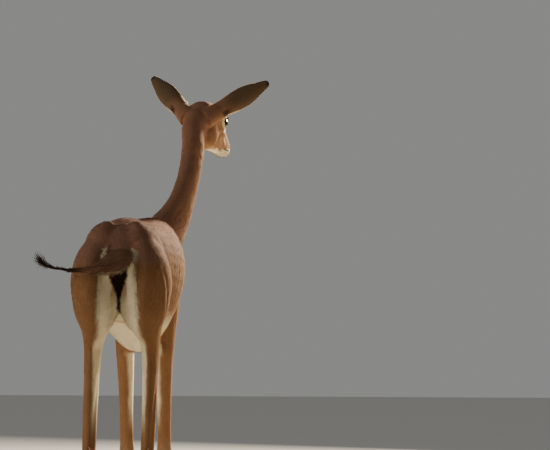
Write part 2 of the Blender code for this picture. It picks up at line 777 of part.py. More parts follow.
def lock(name, root, way, bend, length, across):
    """A flat tapered lock of hair from its root, leaning over by bend towards its tip."""
    rings = []
    wide, thick = LOCK_WIDTH / 2, LOCK_THICKNESS / 2
    for share, size in LOCK_PROFILE:
        centre = root + way * (length * share) + bend * (length * share**2)
        along = (way + bend * (2 * share)).normalized()
        side = (across - along * across.dot(along)).normalized()
        flat = along.cross(side)
        rings.append(ring(centre, side, flat, wide * size, thick * size, thick * size, count=6))
    return loft(name, rings)


def tail():
    rows = smooth_rows(TAIL, 3)
    centres = [place(r[0], r[1], r[2]) for r in rows]
    sides = [Vector((1, 0, 0)).lerp(Vector((0, 0, 1)), i / (len(rows) - 1)) for i in range(len(rows))]
    return tube("tail", centres, [r[3] for r in rows], [r[4] for r in rows], sides, 12)


def tail_tuft():
    """The core of the tail's end with its long hairs, which lie back along it and overlap."""
    picks = random.Random(7)
    rows = smooth_rows(TUFT_PATH, 4)
    path = [place(*r) for r in rows]
    sizes = [TUFT_CORE * (1 - 0.7 * i / (len(path) - 1)) for i in range(len(path))]
    made = tube("tail_tuft", path, sizes, sizes, [Vector((0, 0, 1))] * len(path), 10)
    locks = []
    for i in range(TUFT_LOCKS):
        share = TUFT_SPAN[0] + (TUFT_SPAN[1] - TUFT_SPAN[0]) * i / (TUFT_LOCKS - 1)
        at = min(int(share * (len(path) - 1)), len(path) - 2)
        along = (path[at + 1] - path[at]).normalized()
        start = path[at].lerp(path[at + 1], share * (len(path) - 1) - at)
        side = along.orthogonal().normalized()
        turn = i * TUFT_TURN + picks.uniform(-0.3, 0.3)
        out = Matrix.Rotation(turn, 3, along) @ side
        fullness = 0.55 + 0.45 * math.sin(math.pi * (0.25 + 0.6 * share))
        length = TUFT_LOCK_LENGTH * picks.uniform(0.75, 1.1) * fullness
        way = (along + out * TUFT_OUT).normalized()
        root = start + out * (sizes[at] * 0.35)
        locks.append(lock("lock", root, way, out * TUFT_BEND, length, along.cross(out)))
    fuse(made, locks, "MANIFOLD")
    keep_largest(made)
    return made


def knee_locks(side):
    """The brush of longer hair on the front of the knee."""
    picks = random.Random(11 + side)
    made = []
    for i in range(KNEE_LOCKS):
        row, column = divmod(i, 3)
        height = KNEE_HEIGHT - row * KNEE_ROW
        turn = math.radians((column - 1 + (row % 2 - 0.5) / 2) * KNEE_TURN_DEG)
        out = place(math.cos(turn), side * math.sin(turn), 0.0)
        middle = body_place(KNEE_MIDDLE[0], side * KNEE_MIDDLE[1], height)
        root = middle + Vector((out.x * KNEE_RADII[0], out.y * KNEE_RADII[1], 0.0))
        way = (out * KNEE_OUT + Vector((0, 0, -1))).normalized()
        length = KNEE_LOCK_LENGTH * picks.uniform(0.85, 1.15)
        across = Vector((0, 0, 1)).cross(out)
        made.append(lock("lock", root, way, out * KNEE_BEND, length, across))
    return made


def hooves(kind, rows, side, word):
    """The two half-hooves of one foot, and the block that trims the leg at the coronet."""
    ahead, out, _, _, _ = rows[-1]
    slope = math.radians(CORONET_SLOPE_DEG)
    up = place(-math.sin(slope), 0.0, math.cos(slope))
    middle = body_place(ahead, side * out, CORONET_HEIGHT)
    made = {}
    for which, spread in (("inner", -HOOF_SPREAD), ("outer", HOOF_SPREAD)):
        left = side * (out + spread) - bend(ahead)
        rings = []
        for height, shift, share, width in HOOF_SECTIONS:
            centre = place(ahead + shift, left, height)
            size, toe, heel = HOOF_HALF_WIDTH * width, HOOF_TOE * share, HOOF_HEEL * share
            rings.append(ring(centre, Vector((1, 0, 0)), place(1, 0, 0), size, toe, heel, 1.9, -0.12, 16))
        hoof = loft(f"hoof_{kind}_{word}_{which}", rings)
        combine(hoof, half_space("above", middle - up * GAP, up), "DIFFERENCE")
        made[hoof.name] = hoof
    return made, half_space("below", middle, -up)


def feet(pieces):
    """Trims each leg at its coronet and adds its hooves."""
    made = {}
    for word, side in (("left", 1), ("right", -1)):
        for kind, rows, leg in (("fore", FORE_LEG, "foreleg"), ("hind", HIND_LEG, "hindleg")):
            pair, below = hooves(kind, rows, side, word)
            combine(pieces[f"{leg}_{word}"], below, "DIFFERENCE")
            keep_largest(pieces[f"{leg}_{word}"])
            made.update(pair)
    return made


def trim_to(piece, *others):
    """Cuts a piece clear of what it grows from."""
    for other in others:
        combine(piece, grown(other, "clear", TRIM_GAP), "DIFFERENCE")
    keep_largest(piece)


def material(name, colour, roughness):
    made = bpy.data.materials.new(name)
    made.use_nodes = True
    shader = made.node_tree.nodes["Principled BSDF"]
    shader.inputs["Base Color"].default_value = (*colour, 1.0)
    shader.inputs["Roughness"].default_value = roughness
    shader.inputs["Metallic"].default_value = 0.0
    return made


def paint(pieces):
    coat = material("coat", COLOURS["coat"], 0.8)
    slots = {
        "torso": material("saddle", COLOURS["saddle"], 0.75),
        "ear_left": material("ear", COLOURS["ear"], 0.8),
        "eye_left": material("eye", COLOURS["eye"], 0.05),
        "tail_tuft": material("tuft", COLOURS["tuft"], 0.7),
    }
    slots["ear_right"] = slots["ear_left"]
    slots["eye_right"] = slots["eye_left"]
    horn = material("hoof", COLOURS["hoof"], 0.35)
    for name, piece in pieces.items():
        piece.data.materials.clear()
        piece.data.materials.append(horn if name.startswith("hoof") else slots.get(name, coat))
        if not name.startswith("hoof"):
            piece.data.shade_smooth()


def centre_on_floor(pieces):
    """Moves the model so that the middle of its footprint is at the origin."""
    corners = np.array([v.co for piece in pieces.values() for v in piece.data.vertices])
    low, high = corners.min(0), corners.max(0)
    shift = Matrix.Translation((-(low[0] + high[0]) / 2, -(low[1] + high[1]) / 2, -low[2]))
    for piece in pieces.values():
        piece.data.transform(shift)


def gerenuk():
    for old in list(bpy.data.objects):
        bpy.data.objects.remove(old)
    pieces = part_body(*body_and_head())
    finish_head(pieces["head"])
    for word, side in (("left", 1), ("right", -1)):
        pieces[f"eye_{word}"] = eyeball(f"eye_{word}", side, EYE_RADIUS)
        pieces[f"ear_{word}"] = ear(word)
        trim_to(pieces[f"ear_{word}"], pieces["head"], pieces["neck"])
        fuse(pieces[f"foreleg_{word}"], knee_locks(side), "MANIFOLD")
        keep_largest(pieces[f"foreleg_{word}"])
    pieces.update(feet(pieces))
    pieces["tail"] = tail()
    trim_to(pieces["tail"], pieces["torso"], pieces["hindleg_left"])
    pieces["tail_tuft"] = tail_tuft()
    trim_to(pieces["tail_tuft"], pieces["tail"])
    paint(pieces)
    centre_on_floor(pieces)
    group = bpy.data.collections.new("gerenuk")
    bpy.context.scene.collection.children.link(group)
    for name, piece in pieces.items():
        piece.name = name
        bpy.context.scene.collection.objects.unlink(piece)
        group.objects.link(piece)


gerenuk()
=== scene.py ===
"""The coat, skin, eyes and hooves of a life-size gerenuk, and the room that it is shown in.

Metres, +Z up. The animal faces -Y and its left side is at +X.
"""

import math

import bmesh
import bpy
import numpy as np
from mathutils import Matrix, Vector, geometry
from mathutils.bvhtree import BVHTree


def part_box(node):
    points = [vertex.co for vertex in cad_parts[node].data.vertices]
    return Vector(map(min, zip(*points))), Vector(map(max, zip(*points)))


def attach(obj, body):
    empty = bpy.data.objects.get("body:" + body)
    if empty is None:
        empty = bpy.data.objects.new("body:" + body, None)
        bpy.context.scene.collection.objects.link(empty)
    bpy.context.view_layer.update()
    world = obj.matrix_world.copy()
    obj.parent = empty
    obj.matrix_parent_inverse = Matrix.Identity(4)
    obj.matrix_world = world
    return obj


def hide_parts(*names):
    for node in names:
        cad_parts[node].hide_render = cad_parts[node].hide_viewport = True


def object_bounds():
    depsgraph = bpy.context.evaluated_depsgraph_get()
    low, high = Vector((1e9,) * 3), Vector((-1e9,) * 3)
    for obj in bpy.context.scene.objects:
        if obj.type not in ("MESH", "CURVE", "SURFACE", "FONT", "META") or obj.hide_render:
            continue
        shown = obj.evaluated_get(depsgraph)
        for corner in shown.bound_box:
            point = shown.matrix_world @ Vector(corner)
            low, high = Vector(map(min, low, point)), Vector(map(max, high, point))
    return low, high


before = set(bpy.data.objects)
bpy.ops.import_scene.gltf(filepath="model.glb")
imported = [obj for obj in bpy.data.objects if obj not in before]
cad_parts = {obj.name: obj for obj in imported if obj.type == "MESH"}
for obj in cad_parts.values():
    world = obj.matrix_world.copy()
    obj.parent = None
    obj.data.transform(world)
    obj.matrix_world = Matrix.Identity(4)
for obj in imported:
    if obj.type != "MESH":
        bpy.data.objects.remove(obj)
CAD_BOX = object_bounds()

# The head's place and bearing, and the eyes and ears on it. An ear has its swing, rise and roll in degrees.
HEAD_AHEAD, HEAD_RIGHT, HEAD_HEIGHT = 0.985, 0.1093, 1.166
HEAD_TURN_DEG = 14.0
HEAD_DIP_DEG = 22.0
EYE_RADIUS = 0.0165
EYE_CENTRE = (0.1, 0.0295, 0.0135)
EYE_LOOK = (0.26, 0.955, 0.1)
LID_LENGTH, LID_HEIGHT = 0.014, 0.0102
GLAND_AHEAD = 0.14
EAR_ROOT = (0.012, 0.037, 0.007)
EARS = {"left": (42.0, 28.0, 36.0), "right": (43.0, 26.0, 18.0)}
EAR_LENGTH = 0.16
# Half the ear's width at shares of its length
EAR_HALF_WIDTH = (
    (0.0, 0.019), (0.2, 0.02), (0.42, 0.0245), (0.56, 0.0252),
    (0.7, 0.0215), (0.82, 0.016), (0.92, 0.012), (1.0, 0.0058),
)
# Height of the line between the lips along the head
MOUTH_LINE = ((0.173, -0.0258), (0.191, -0.023), (0.208, -0.0208), (0.225, -0.019), (0.245, -0.0185))

# The spine bends to the right ahead of this place
BEND_START, BEND = 0.15, 0.02

# Skin and coat
BODY_VOXEL = 0.0038
HEAD_VOXEL = 0.0014
HOOF_VOXEL = 0.0011
NECK_CUT = ((0.88, -0.1, 1.03), (0.6, -0.06, 0.8))
LEGS = ["foreleg_left", "foreleg_right", "hindleg_left", "hindleg_right"]
FLESH = ["torso", "neck", "head", "ear_left", "ear_right", "tail", *LEGS]
MOST_TRIANGLES = 190000
HOOF_REACH = 0.003
KNEE_ASIDE, KNEE_HEIGHT, BRUSH_HEIGHT = 0.045, 0.345, 0.352
SHANK_TOP = 0.6
GROWN = 0.0005
# How far the skin lies inside each solid, under the coat
SKIN_DEPTH = {"torso": 0.0026, "neck": 0.0022, "head": 0.0009, "tail": 0.0016}
LEAST_DEPTH = 0.0004

# Edges of the markings: the saddle's and the belly's height along the body, and at each height how far
# the pale rump and the bare skin reach from the middle
SADDLE_EDGE = (
    (-0.02, 0.858), (0.06, 0.858), (0.12, 0.862), (0.2, 0.868), (0.3, 0.864),
    (0.42, 0.856), (0.55, 0.856), (0.66, 0.864), (0.74, 0.878), (0.8, 0.888),
)
BELLY_LINE = (
    (0.15, 0.728), (0.25, 0.726), (0.4, 0.702), (0.55, 0.68),
    (0.65, 0.67), (0.75, 0.68), (0.85, 0.71),
)
RUMP_RIM = (
    (0.5, 0.066), (0.58, 0.058), (0.65, 0.049), (0.7, 0.0445),
    (0.76, 0.043), (0.82, 0.042), (0.86, 0.0385), (0.895, 0.03),
)
BARE_SKIN = (
    (0.7, 0.003), (0.775, 0.0042), (0.7926, 0.009), (0.814, 0.0165),
    (0.829, 0.022), (0.8485, 0.0245), (0.88, 0.0255),
)
# Length of the tail's tuft along the tail
TUFT_LENGTH = ((0.5, 0.009), (0.6, 0.013), (0.72, 0.027), (0.88, 0.031), (1.0, 0.025))

# The photograph's frame: the cleft's column and the croup's row in it, and the scale at the animal. Then
# where the camera stands, and the place that the lamps face
PHOTO_WIDTH, PHOTO_HEIGHT = 550, 450
PHOTO_MARK = (116.8, 217.0)
PIXELS_PER_METRE = 430.0
CAMERA_AZIMUTH, CAMERA_ELEVATION, CAMERA_DISTANCE = 184.0, 3.0, 20.0
LIT_PLACE = Vector((0, 0, 0.8))

# Middle lines of the tail with its tuft and of the neck: ahead, left, height
TAIL_PATH = (
    (0.045, -0.008, 0.884), (0.02, -0.008, 0.877), (-0.002, -0.001, 0.867), (-0.016, 0.02, 0.855),
    (-0.025, 0.044, 0.849), (-0.03, 0.074, 0.845), (-0.028, 0.105, 0.843), (-0.023, 0.135, 0.846),
    (-0.016, 0.157, 0.851), (-0.008, 0.173, 0.86), (0.0, 0.183, 0.876),
)
NECK_PATH = (
    (0.64, -0.004, 0.775), (0.7, -0.018, 0.822), (0.754, -0.046, 0.876), (0.8, -0.0755, 0.931),
    (0.845, -0.0915, 0.985), (0.885, -0.1005, 1.035), (0.922, -0.105, 1.088), (0.95, -0.108, 1.13),
)


def place(ahead, left, height):
    """A point or way from its distance ahead, to the animal's left and up."""
    return Vector((left, -ahead, height))


def head_axes():
    """Matrix from the head's own frame (ahead, left, up) to the model's."""
    turn, dip = math.radians(HEAD_TURN_DEG), math.radians(HEAD_DIP_DEG)
    level = math.cos(dip)
    ahead = Vector((-math.sin(turn) * level, -math.cos(turn) * level, -math.sin(dip)))
    left = Vector((math.cos(turn), -math.sin(turn), 0.0))
    return Matrix((ahead, left, ahead.cross(left))).transposed()


HEAD_AXES = head_axes()
EYE_LOW, EYE_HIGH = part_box("eye_left")
SHIFT = (EYE_LOW + EYE_HIGH) / 2 - (
    place(HEAD_AHEAD, -HEAD_RIGHT, HEAD_HEIGHT) + HEAD_AXES @ Vector(EYE_CENTRE)
)
HEAD_ORIGIN = place(HEAD_AHEAD, -HEAD_RIGHT, HEAD_HEIGHT) + SHIFT


def spot(ahead, left, height):
    """A place on the standing model."""
    return place(ahead, left, height) + SHIFT


def head_spot(ahead, left, up):
    return HEAD_ORIGIN + HEAD_AXES @ Vector((ahead, left, up))


def eye_frame(side):
    """The eye's middle, and axes whose third column is the way that it looks."""
    look = (HEAD_AXES @ Vector((EYE_LOOK[0], side * EYE_LOOK[1], EYE_LOOK[2]))).normalized()
    ahead = HEAD_AXES.col[0]
    ahead = (ahead - look * ahead.dot(look)).normalized()
    up = ahead.cross(look) * side
    centre = head_spot(EYE_CENTRE[0], side * EYE_CENTRE[1], EYE_CENTRE[2])
    return centre, Matrix((ahead, up, look)).transposed()


def ear_frame(word):
    """The ear's root and axes: its width, the way that it opens and the way to its tip."""
    side = 1 if word == "left" else -1
    swing, rise, roll = (math.radians(angle) for angle in EARS[word])
    turn = math.radians(HEAD_TURN_DEG)
    ahead = Vector((-math.sin(turn), -math.cos(turn), 0.0))
    out = Vector((math.cos(turn), -math.sin(turn), 0.0)) * side
    level = out * math.cos(swing) + ahead * math.sin(swing)
    along = level * math.cos(rise) + Vector((0, 0, math.sin(rise)))
    facing = ahead * math.cos(swing) - out * math.sin(swing)
    facing = Matrix.Rotation(roll * side, 3, along) @ facing
    root = head_spot(EAR_ROOT[0], side * EAR_ROOT[1], EAR_ROOT[2])
    return root, Matrix((facing.cross(along), facing, along)).transposed()


# Small helpers on arrays of points


def into(points, origin, axes):
    """Points in the frame that has this origin and these axes as columns."""
    return (points - np.array(origin)) @ np.array(axes)


def body_frame(points):
    """Each point's distance ahead of the rump, to the left of the spine, and height."""
    ahead = -(points[:, 1] - SHIFT.y)
    left = points[:, 0] - SHIFT.x + BEND * np.maximum(0.0, ahead - BEND_START) ** 2
    return ahead, left, points[:, 2] - SHIFT.z


def step(low, high, values):
    """0 below low, 1 above high and smooth between, or the other way round."""
    t = np.clip((values - low) / (high - low), 0.0, 1.0)
    return t * t * (3 - 2 * t)


def span(values, start, full, until, end):
    """1 from full until the third place, and smoothly down to 0 at the start and the end."""
    return step(start, full, values) * step(end, until, values)


def hump(values, middle, width):
    return np.exp(-(((values - middle) / width) ** 2))


def curve(values, pairs):
    """The line through those pairs, read at each value."""
    return np.interp(values, *zip(*pairs))


def lay(layer, amount):
    """Raises the layer to the amount where it is lower."""
    np.maximum(layer, amount, out=layer)


def unit(vectors):
    return vectors / np.maximum(np.linalg.norm(vectors, axis=-1, keepdims=True), 1e-9)


def ripple(points, size, seed):
    """Smooth noise, mostly between -1 and 1, with features of about that size."""
    draw = np.random.default_rng(seed)
    total = np.zeros(len(points))
    for _ in range(7):
        way = unit(draw.normal(size=3)) * (2 * math.pi / (size * draw.uniform(0.7, 1.6)))
        total += np.sin(points @ way + draw.uniform(0, 6.28))
    return total / 3.2


def nearest_on_path(points, path):
    """How far along the path it is nearest, as a share of it, and the path's way there."""
    line = np.array([spot(*p) for p in path])
    best = np.full(len(points), 1e9)
    share, way = np.zeros(len(points)), np.zeros((len(points), 3))
    for i in range(len(line) - 1):
        start, run = line[i], line[i + 1] - line[i]
        t = np.clip(((points - start) @ run) / (run @ run), 0, 1)
        gap = np.linalg.norm(points - start - t[:, None] * run, axis=1)
        closer = gap < best
        best[closer] = gap[closer]
        share[closer] = (i + t[closer]) / (len(line) - 1)
        way[closer] = unit(run)
    return share, way


def share_of(weights, *kinds):
    """How much of each point is of the solids whose names start so."""
    return weights[:, [k for k, name in enumerate(FLESH) if name.startswith(kinds)]].sum(1)


class Places:
    """Points of the skin, measured in the frames of the body and the head."""

    def __init__(self, points, normals, weights):
        self.points, self.normals, self.weights = points, normals, weights
        self.ahead, self.left, self.height = body_frame(points)
        self.aside = np.abs(self.left)
        self.rear = step(0.1, 0.5, normals[:, 1])
        # ahead of the head's root, to its left and up
        self.on_head = a, _, u = into(points, HEAD_ORIGIN, HEAD_AXES).T
        # the back of the head, which is coloured as the neck is, painted shade included
        self.poll = step(0.05, -0.005, a + 0.3 * np.minimum(u, 0.0)) * self.share("head")

    def share(self, *kinds):
        return share_of(self.weights, *kinds)

    def facing(self, ahead, left, height):
        """How far each normal points that way."""
        return self.normals @ unit(np.array(place(ahead, left, height)))

    def on_eye(self, side):
        """The points from the eye's middle: along it, up it and out of it, and how far off they are."""
        centre, axes = eye_frame(side)
        return *into(self.points, centre, axes).T, np.linalg.norm(self.points - np.array(centre), axis=1)

    def on_ear(self, word):
        """The points across the ear, out of its cup and up to its tip, and the way that it opens."""
        root, axes = ear_frame(word)
        return *into(self.points, root, axes).T, self.normals @ np.array(axes.col[1])


# The skin


def new_object(name, data):
    made = bpy.data.objects.new(name, data)
    bpy.context.scene.collection.objects.link(made)
    return made


def mesh_from(bm, name):
    made = bpy.data.meshes.new(name)
    bm.to_mesh(made)
    bm.free()
    return made


def settled(target):
    """The mesh that the object's modifiers make, in place of the object."""
    bpy.context.view_layer.update()
    mesh = bpy.data.meshes.new_from_object(target.evaluated_get(bpy.context.evaluated_depsgraph_get()))
    bpy.data.objects.remove(target)
    return mesh


def voxelled(target, size):
    """The object's mesh rebuilt as one closed surface with faces of that size."""
    remesh = target.modifiers.new("remesh", "REMESH")
    remesh.mode, remesh.voxel_size = "VOXEL", size
    return settled(target)


def tube(bm, path, radii, count=16):
    """A closed tube along the path."""
    loops = []
    for i, centre in enumerate(path):
        along = (path[min(i + 1, len(path) - 1)] - path[max(i - 1, 0)]).normalized()
        side = along.orthogonal().normalized()
        other = along.cross(side)
        loop = []
        for k in range(count):
            turn = 2 * math.pi * k / count
            loop.append(bm.verts.new(centre + (side * math.cos(turn) + other * math.sin(turn)) * radii[i]))
        loops.append(loop)
    for lower, upper in zip(loops, loops[1:]):
        for k in range(count):
            bm.faces.new((lower[k], lower[(k + 1) % count], upper[(k + 1) % count], upper[k]))
    bm.faces.new(loops[0][::-1])
    bm.faces.new(loops[-1])


def flesh(names):
    """The named solids, grown a little so that they meet, with balls in the eye sockets and a core
    in the tail's end.
    """
    bm = bmesh.new()
    for name in names:
        piece = bmesh.new()
        piece.from_mesh(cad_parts[name].data)
        bmesh.ops.remove_doubles(piece, verts=piece.verts, dist=1e-6)
        piece.normal_update()
        for vert in piece.verts:
            vert.co += vert.normal * GROWN
        mesh = mesh_from(piece, "piece")
        bm.from_mesh(mesh)
        bpy.data.meshes.remove(mesh)
    if "head" in names:
        for side in (1, -1):
            centre, _ = eye_frame(side)
            bmesh.ops.create_icosphere(
                bm, subdivisions=4, radius=EYE_RADIUS + 0.0004, matrix=Matrix.Translation(centre)
            )
    if "tail" in names:
        path = [spot(*p) for p in TAIL_PATH[-6:]]
        tube(bm, path, [0.006, 0.0052, 0.0044, 0.0034, 0.0026, 0.0018])
    return new_object("flesh", mesh_from(bm, "flesh"))


def remeshed(names, voxel):
    mesh = voxelled(flesh(names), voxel)
    bm = bmesh.new()
    bm.from_mesh(mesh)
    keep_largest(bm)
    bpy.data.meshes.remove(mesh)
    return bm


def keep_largest(bm):
    """Removes all but the shell with the most faces."""
    left = set(bm.faces)
    shells = []
    while left:
        front = [left.pop()]
        shell = list(front)
        while front:
            for edge in front.pop().edges:
                for face in edge.link_faces:
                    if face in left:
                        left.discard(face)
                        shell.append(face)
                        front.append(face)
        shells.append(shell)
    shells.sort(key=len)
    loose = [face for shell in shells[:-1] for face in shell]
    bmesh.ops.delete(bm, geom=loose, context="FACES")


def cut_away(bm, point, way):
    """Removes what lies behind the plane."""
    geometry_of = bm.verts[:] + bm.edges[:] + bm.faces[:]
    bmesh.ops.bisect_plane(bm, geom=geometry_of, plane_co=point, plane_no=way, clear_inner=True)


def raw_skin():
    """The body, and the head and ears in finer mesh, joined round the neck."""
    point, way = spot(*NECK_CUT[0]), place(*NECK_CUT[1]).normalized()
    body = remeshed(["torso", "neck", "tail", *LEGS], BODY_VOXEL)
    head = remeshed(["neck", "head", "ear_left", "ear_right"], HEAD_VOXEL)
    cut_away(body, point - way * 0.001, -way)
    cut_away(head, point + way * 0.001, way)
    upper = mesh_from(head, "upper")
    body.from_mesh(upper)
    bpy.data.meshes.remove(upper)
    rims = [edge for edge in body.edges if edge.is_boundary]
    bmesh.ops.bridge_loops(body, edges=rims)
    bmesh.ops.recalc_face_normals(body, faces=body.faces)
    return mesh_from(body, "skin")


def read(collection, key, kind, each=1):
    """The values of a mesh's items as an array, with each item's numbers in a row."""
    made = np.empty(len(collection) * each, kind)
    collection.foreach_get(key, made)
    return made.reshape(-1, each) if each > 1 else made


class Surface:
    """A mesh's points as an array, with what is needed to smooth values over it."""

    def __init__(self, mesh):
        self.mesh = mesh
        self.points = read(mesh.vertices, "co", np.float32, 3).astype(float)
        self.edges = read(mesh.edges, "vertices", np.int32, 2)
        self.degree = np.bincount(self.edges.ravel(), minlength=len(self.points)).astype(float)

    def mean(self, values):
        """Each point's mean of its neighbours' values."""
        a, b = self.edges[:, 0], self.edges[:, 1]
        count = len(self.points)
        if values.ndim == 1:
            values = values[:, None]
        made = np.empty_like(values)
        for k in range(values.shape[1]):
            column = values[:, k]
            total = np.bincount(a, column[b], count) + np.bincount(b, column[a], count)
            made[:, k] = total / np.maximum(self.degree, 1)
        return made

    def spread(self, values, rounds):
        """The values, smoothed that many times."""
        shape = values.shape
        for _ in range(rounds):
            values = (values.reshape(len(self.points), -1) + self.mean(values)) / 2
        return values.reshape(shape)

    def smooth(self, rounds, share):
        """Smooths the shape without shrinking it."""
        for k in range(rounds * 2):
            pull = (0.5, -0.52)[k % 2]
            self.points += (self.mean(self.points) - self.points) * (pull * share)[:, None]

    def normals(self):
        self.write()
        return read(self.mesh.vertices, "normal", np.float32, 3).astype(float)

    def write(self):
        self.mesh.vertices.foreach_set("co", self.points.astype(np.float32).ravel())
        self.mesh.update()


def nearest_node(points):
    """Which solid each point is nearest to, as an index into FLESH."""
    verts, faces, owner = [], [], []
    for index, name in enumerate(FLESH):
        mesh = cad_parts[name].data
        offset = len(verts)
        verts.extend(v.co.copy() for v in mesh.vertices)
        for polygon in mesh.polygons:
            faces.append([offset + k for k in polygon.vertices])
            owner.append(index)
    tree = BVHTree.FromPolygons(verts, faces)
    owner = np.array(owner)
    found = [tree.find_nearest(Vector(p))[2] for p in points]
    return owner[np.array(found)]


def knee_clear(points):
    """The front of each knee drawn in to the leg's own shape, where the solid has its brush of hair."""
    ahead, left, height = body_frame(points)
    for side in (1, -1):
        x = left - side * KNEE_ASIDE
        near = (np.abs(height - KNEE_HEIGHT) < 0.045) & (np.abs(x) < 0.04) & (ahead > 0.7) & (ahead < 0.8)
        x = x[near]
        t = np.clip((height[near] - 0.308) / 0.042, 0, 1)
        low = np.clip((height[near] - 0.35) / 0.04, 0, 1)
        half_depth = (0.0176 + 0.005 * t - 0.003 * low) * 0.99
        half_width = (0.0157 + 0.0045 * t - 0.0032 * low) * 0.99
        y = ahead[near] - (0.706 + 0.006 * t - 0.004 * low)
        reach = np.hypot(x / half_width, y / half_depth)
        pull = np.where(y > 0, np.minimum(1.0, 1.0 / np.maximum(reach, 1e-6)), 1.0)
        points[near, 0] += x * (pull - 1)
        points[near, 1] -= y * (pull - 1)


def carve_eyes(here):
    """Lids, their folds and the groove of the tear."""
    out = np.zeros(len(here.points))
    for side in (1, -1):
        x, y, z, off = here.on_eye(side)
        front = step(0.002, 0.006, z) * step(0.036, 0.03, off)
        skew = 0.0011 * np.clip(x / 0.0137, -1, 1)
        half_height = np.where(y > 0, LID_HEIGHT, LID_HEIGHT - 0.001)
        q = np.hypot(x / LID_LENGTH, (y + skew) / half_height)
        out += front * (-0.0018 * step(1.0, 0.9, q) + 0.0007 * hump(q, 1.1, 0.1))
        upper = step(-0.002, 0.003, y)
        for which, size, middle, width in (
            (upper, 0.0006, 1.32, 0.12),
            (upper, -0.0012, 1.62, 0.12),
            (upper, 0.0007, 2.0, 0.25),
            (1 - upper, 0.0003, 1.3, 0.12),
            (1 - upper, -0.0008, 1.55, 0.12),
            (1 - upper, -0.0003, 1.95, 0.12),
        ):
            out += front * which * size * hump(q, middle, width)
        groove = hump(y + 0.0045 + 0.25 * (x - 0.014), 0.0, 0.0016) * span(x, 0.011, 0.015, 0.02, 0.028)
        out -= 0.0009 * groove * step(-0.004, 0.002, z)
    return out


def carve_face(here):
    """The scent gland, crests, cheek, nose and lips."""
    a, l, u = here.on_head
    s = np.abs(l)
    side_on = step(0.006, 0.012, s)
    crest = -0.0105 - 0.1 * (a - 0.1)
    cheek = 0.086 + 0.25 * (u + 0.03)
    vein = -0.03 + 0.0018 * np.sin((a - 0.1) * 90)
    line = curve(a, MOUTH_LINE)
    lips = step(0.168, 0.177, a)
    out = np.zeros(len(a))
    # the gland before the eye, and its ring
    ring = hump(np.hypot((a - GLAND_AHEAD) / 0.009, (u + 0.0035) / 0.006), 1.25, 0.25)
    out += (0.0005 * ring - 0.0014 * hump(a, GLAND_AHEAD, 0.0075) * hump(u, -0.0035, 0.0045)) * side_on
    # facial crest and the hollow above it, cheek muscle and the hollow before it, a vein
    out += 0.0011 * hump(u, crest, 0.0045) * span(a, 0.085, 0.105, 0.15, 0.18) * side_on
    out -= 0.001 * hump(u, crest + 0.0105, 0.005) * span(a, 0.118, 0.13, 0.165, 0.195) * side_on
    out -= 0.0014 * hump(a, cheek, 0.005) * hump(u, -0.036, 0.018) * side_on
    out += 0.001 * hump(a, cheek - 0.018, 0.012) * hump(u, -0.034, 0.02) * side_on
    out += 0.0004 * hump(u, vein, 0.0011) * span(a, 0.105, 0.115, 0.155, 0.165) * side_on
    # between the nasal bones
    out -= 0.0005 * hump(l, 0.0, 0.0022) * span(a, 0.13, 0.15, 0.2, 0.215) * step(0.0, 0.004, u)
    # nostrils with a raised wing
    slit = u + 0.002 - 0.3 * (a - 0.2265) + 0.16 * (s - 0.0105)
    reach = np.hypot((a - 0.227) / 0.0072, (s - 0.0105) / 0.0062)
    wing = np.hypot((a - 0.2265) / 0.0085, (u + 0.0015) / 0.0055)
    out -= 0.0022 * hump(slit, 0.0, 0.0017) * step(1.1, 0.7, reach)
    out += 0.0008 * hump(wing, 1.2, 0.25) * step(0.004, 0.008, s)
    # the mouth's line, the lips and the groove between the nostrils
    out -= 0.0017 * hump(u, line, 0.0011) * lips
    out += 0.0006 * (hump(u, line + 0.0032, 0.0018) + hump(u, line - 0.003, 0.0018)) * lips
    out -= 0.0007 * hump(l, 0.0, 0.0009) * step(0.226, 0.23, a) * span(u, -0.02, -0.016, 0.001, 0.006)
    return out


def carve_ears(here):
    """Ridges inside the ears."""
    out = np.zeros(len(here.points))
    for word in EARS:
        x, _, z, face = here.on_ear(word)
        share = z / EAR_LENGTH
        ridges = np.cos(x / np.maximum(0.35 + share, 0.4) / 0.0085 * 2 * math.pi)
        inner = step(0.1, 0.5, face) * span(share, 0.18, 0.32, 0.7, 0.92)
        out += 0.0006 * ridges * inner * here.share(f"ear_{word}")
    return out


